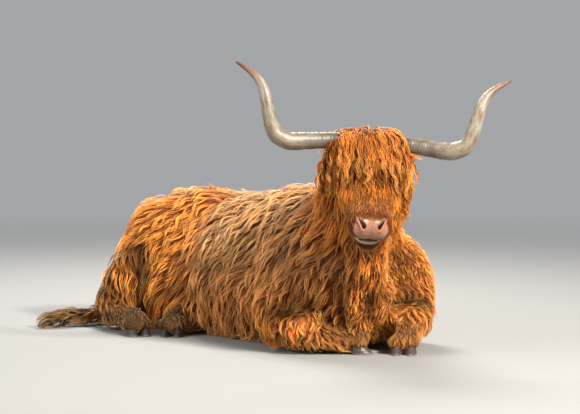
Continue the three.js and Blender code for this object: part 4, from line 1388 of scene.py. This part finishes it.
# The top of the pad is brown, down to a line that hangs between the nostrils, with a pale edge under it that is
# partly the pad's colour and partly a painted highlight.
below_brown = down - 0.389 + 0.012 * (face[:, 0] / 0.05) ** 2
mottled, freckled = 0.8 + 0.4 * waves(at, 0.03, 0.008, 10, 3), 0.9 + 0.3 * waves(at, 0.02, 0.006, 10, 4)
nose = tinted(nose, PALE_EDGE_HIGHLIGHT, bell(below_brown - 0.006, 0.006) * smooth(from_middle, 0.006, 0.030))
nose = tinted(nose, PAD_BROWN, (1 - smooth(below_brown, -0.008, 0.002)) * mottled)
nose = tinted(nose, UPPER_LIP, (1 - smooth(from_mouth, 0.004, 0.030)) * freckled)
nose = tinted(nose, LOWER_LIP, 1 - smooth(from_mouth, -0.006, 0.000))
nose = tinted(nose, WING_PINK, bell(edge - 0.006, 0.006) * smooth(outer, -0.002, 0.006) * (from_mouth > 0.02))
# Painted shade in the nostrils' openings and on their inner walls.
nose = tinted(nose, HOLLOW_SHADE, 1 - smooth(edge - 0.0022 * smooth(along, 0.1, 0.4), -0.0010, 0.0016))
skin_tint = tinted(skin_tint, nose, bare)
skin_tint = tinted(skin_tint, UPPER_LIP, stubble)
# Painted shade along the mouth's line.
skin_tint = tinted(skin_tint, HOLLOW_SHADE, 1.6 * slit * smooth(down, 0.34, 0.37))
skin_tint = tinted(skin_tint, LID_DARK, 1 - smooth(lid_edge, 0.0015, 0.006))
set_tint(skin.data, skin_tint)
fill(skin.data.attributes.new("bare", "FLOAT", "POINT").data, "value", bare * smooth(edge, -0.003, 0.001))


def skin_material():
    paint, nodes, shader = new_paint("skin", 0.7, 0.25)
    place = node(nodes, "TexCoord").outputs["Object"]
    is_bare = attribute(nodes, "bare", "Fac")
    hair = node(nodes, "Mapping", {"Vector": place, "Scale": (420.0, 420.0, 70.0)})
    grain = node(nodes, "TexVoronoi", {"Vector": place, "Scale": 330.0}, feature="DISTANCE_TO_EDGE")
    spots = noise(nodes, place, 140.0, 4.0)
    fur = noise(nodes, hair.outputs["Vector"], 1.0, 3.0)

    def where_bare(furred, bared):
        """One value under the hair and another where the skin is bare."""
        inputs = {"Factor": is_bare, "A": furred, "B": bared}
        return node(nodes, "Mix", inputs, data_type="FLOAT").outputs["Result"]

    amount = where_bare(ranged(nodes, fur, 0.3, 0.7, 0.45, 1.3), ranged(nodes, spots, 0.3, 0.7, 0.8, 1.15))
    relief = where_bare(fur, ranged(nodes, grain.outputs["Distance"], 0.0, 0.12, 0.0, 1.0))
    nodes.links.new(ranged(nodes, is_bare, 0.0, 1.0, 0.75, 0.36), shader.inputs["Roughness"])
    finish_paint(nodes, shader, tint_times(nodes, amount), relief, 0.6, 0.0012)
    return paint


skin.data.materials.clear()
skin.data.materials.append(skin_material())

# ---------------------------------------------------------------- the studio
corners = 30 * np.array([[-1, -1, 0], [1, -1, 0], [1, 1, 0], [-1, 1, 0]], float)
floor = make_mesh("floor", corners, [[0, 1, 2, 3]])
# Pale, and far from the model the colour of the backdrop, so that the floor has no end.
BACKDROP = (0.74, 0.76, 0.78)
BACKDROP_LIGHT = 0.50
FLOOR = (0.28, 0.28, 0.275, 1)
floor_paint, nodes, shader = new_paint("floor_paint", 0.85)
place = node(nodes, "TexCoord").outputs["Object"]
finish_paint(nodes, shader, None, noise(nodes, place, 60.0, 2.0), 0.1, 0.001)
shader.inputs["Base Color"].default_value = FLOOR
far = node(nodes, "VectorMath", {0: place}, operation="LENGTH")
reach = {"Value": far.outputs["Value"], "From Min": 1.5, "From Max": 9.0}
share = node(nodes, "MapRange", reach, interpolation_type="SMOOTHSTEP")
glow = node(nodes, "Emission", {"Color": (*BACKDROP, 1), "Strength": BACKDROP_LIGHT})
fade = node(nodes, "MixShader", {"Fac": share.outputs["Result"]})
nodes.links.new(shader.outputs["BSDF"], fade.inputs[1])
nodes.links.new(glow.outputs["Emission"], fade.inputs[2])
nodes.links.new(fade.outputs["Shader"], nodes.nodes["Material Output"].inputs["Surface"])
floor.data.materials.append(floor_paint)

# The photo's view: from the front and the animal's right, a little from above.
VIEW_AZIMUTH, VIEW_ELEVATION = math.radians(-33), math.radians(3.6)
VIEW_DISTANCE = 11.0
LENS, SENSOR = 154.4, 36.0
back_level = np.array([math.sin(VIEW_AZIMUTH), -math.cos(VIEW_AZIMUTH), 0])
view_right = np.array([math.cos(VIEW_AZIMUTH), math.sin(VIEW_AZIMUTH), 0])
view_back = back_level * math.cos(VIEW_ELEVATION) + np.array([0, 0, math.sin(VIEW_ELEVATION)])
view_up = -back_level * math.sin(VIEW_ELEVATION) + np.array([0, 0, math.cos(VIEW_ELEVATION)])
target = view_right * -0.075 + view_up * 0.575 + SHIFT


def look_at(obj, place, point):
    obj.location = Vector(place)
    obj.rotation_euler = (Vector(point) - Vector(place)).to_track_quat("-Z", "Y").to_euler()


camera_data = bpy.data.cameras.new("camera")
camera_data.lens, camera_data.sensor_width = LENS, SENSOR
camera = bpy.data.objects.new("camera", camera_data)
bpy.context.scene.collection.objects.link(camera)
look_at(camera, target + VIEW_DISTANCE * view_back, target)
bpy.context.scene.camera = camera


def area_light(name, right, back, high, size, power, colour):
    """A round light, from the middle of the model to the right of the view and back, and so high over it."""
    data = bpy.data.lights.new(name, "AREA")
    data.shape, data.size, data.energy, data.color = "DISK", size, power, colour
    light = bpy.data.objects.new(name, data)
    bpy.context.scene.collection.objects.link(light)
    middle = np.array([0, 0, 0.5])
    look_at(light, middle + view_right * right + view_back * back + np.array([0, 0, high]), middle)


area_light("key", 4.2, 4.6, 3.9, 0.9, 1150, (1, 0.94, 0.84))
area_light("fill", -5.0, 3.0, 2.2, 4.0, 230, (1, 0.97, 0.92))
area_light("rim", -0.6, -3.6, 4.2, 2.4, 420, (1, 0.97, 0.92))
world = bpy.data.worlds.new("studio")
bpy.context.scene.world = world
world.use_nodes = True
world.node_tree.nodes["Background"].inputs["Color"].default_value = (*BACKDROP, 1)
world.node_tree.nodes["Background"].inputs["Strength"].default_value = BACKDROP_LIGHT
bpy.context.scene.view_settings.view_transform = "Standard"
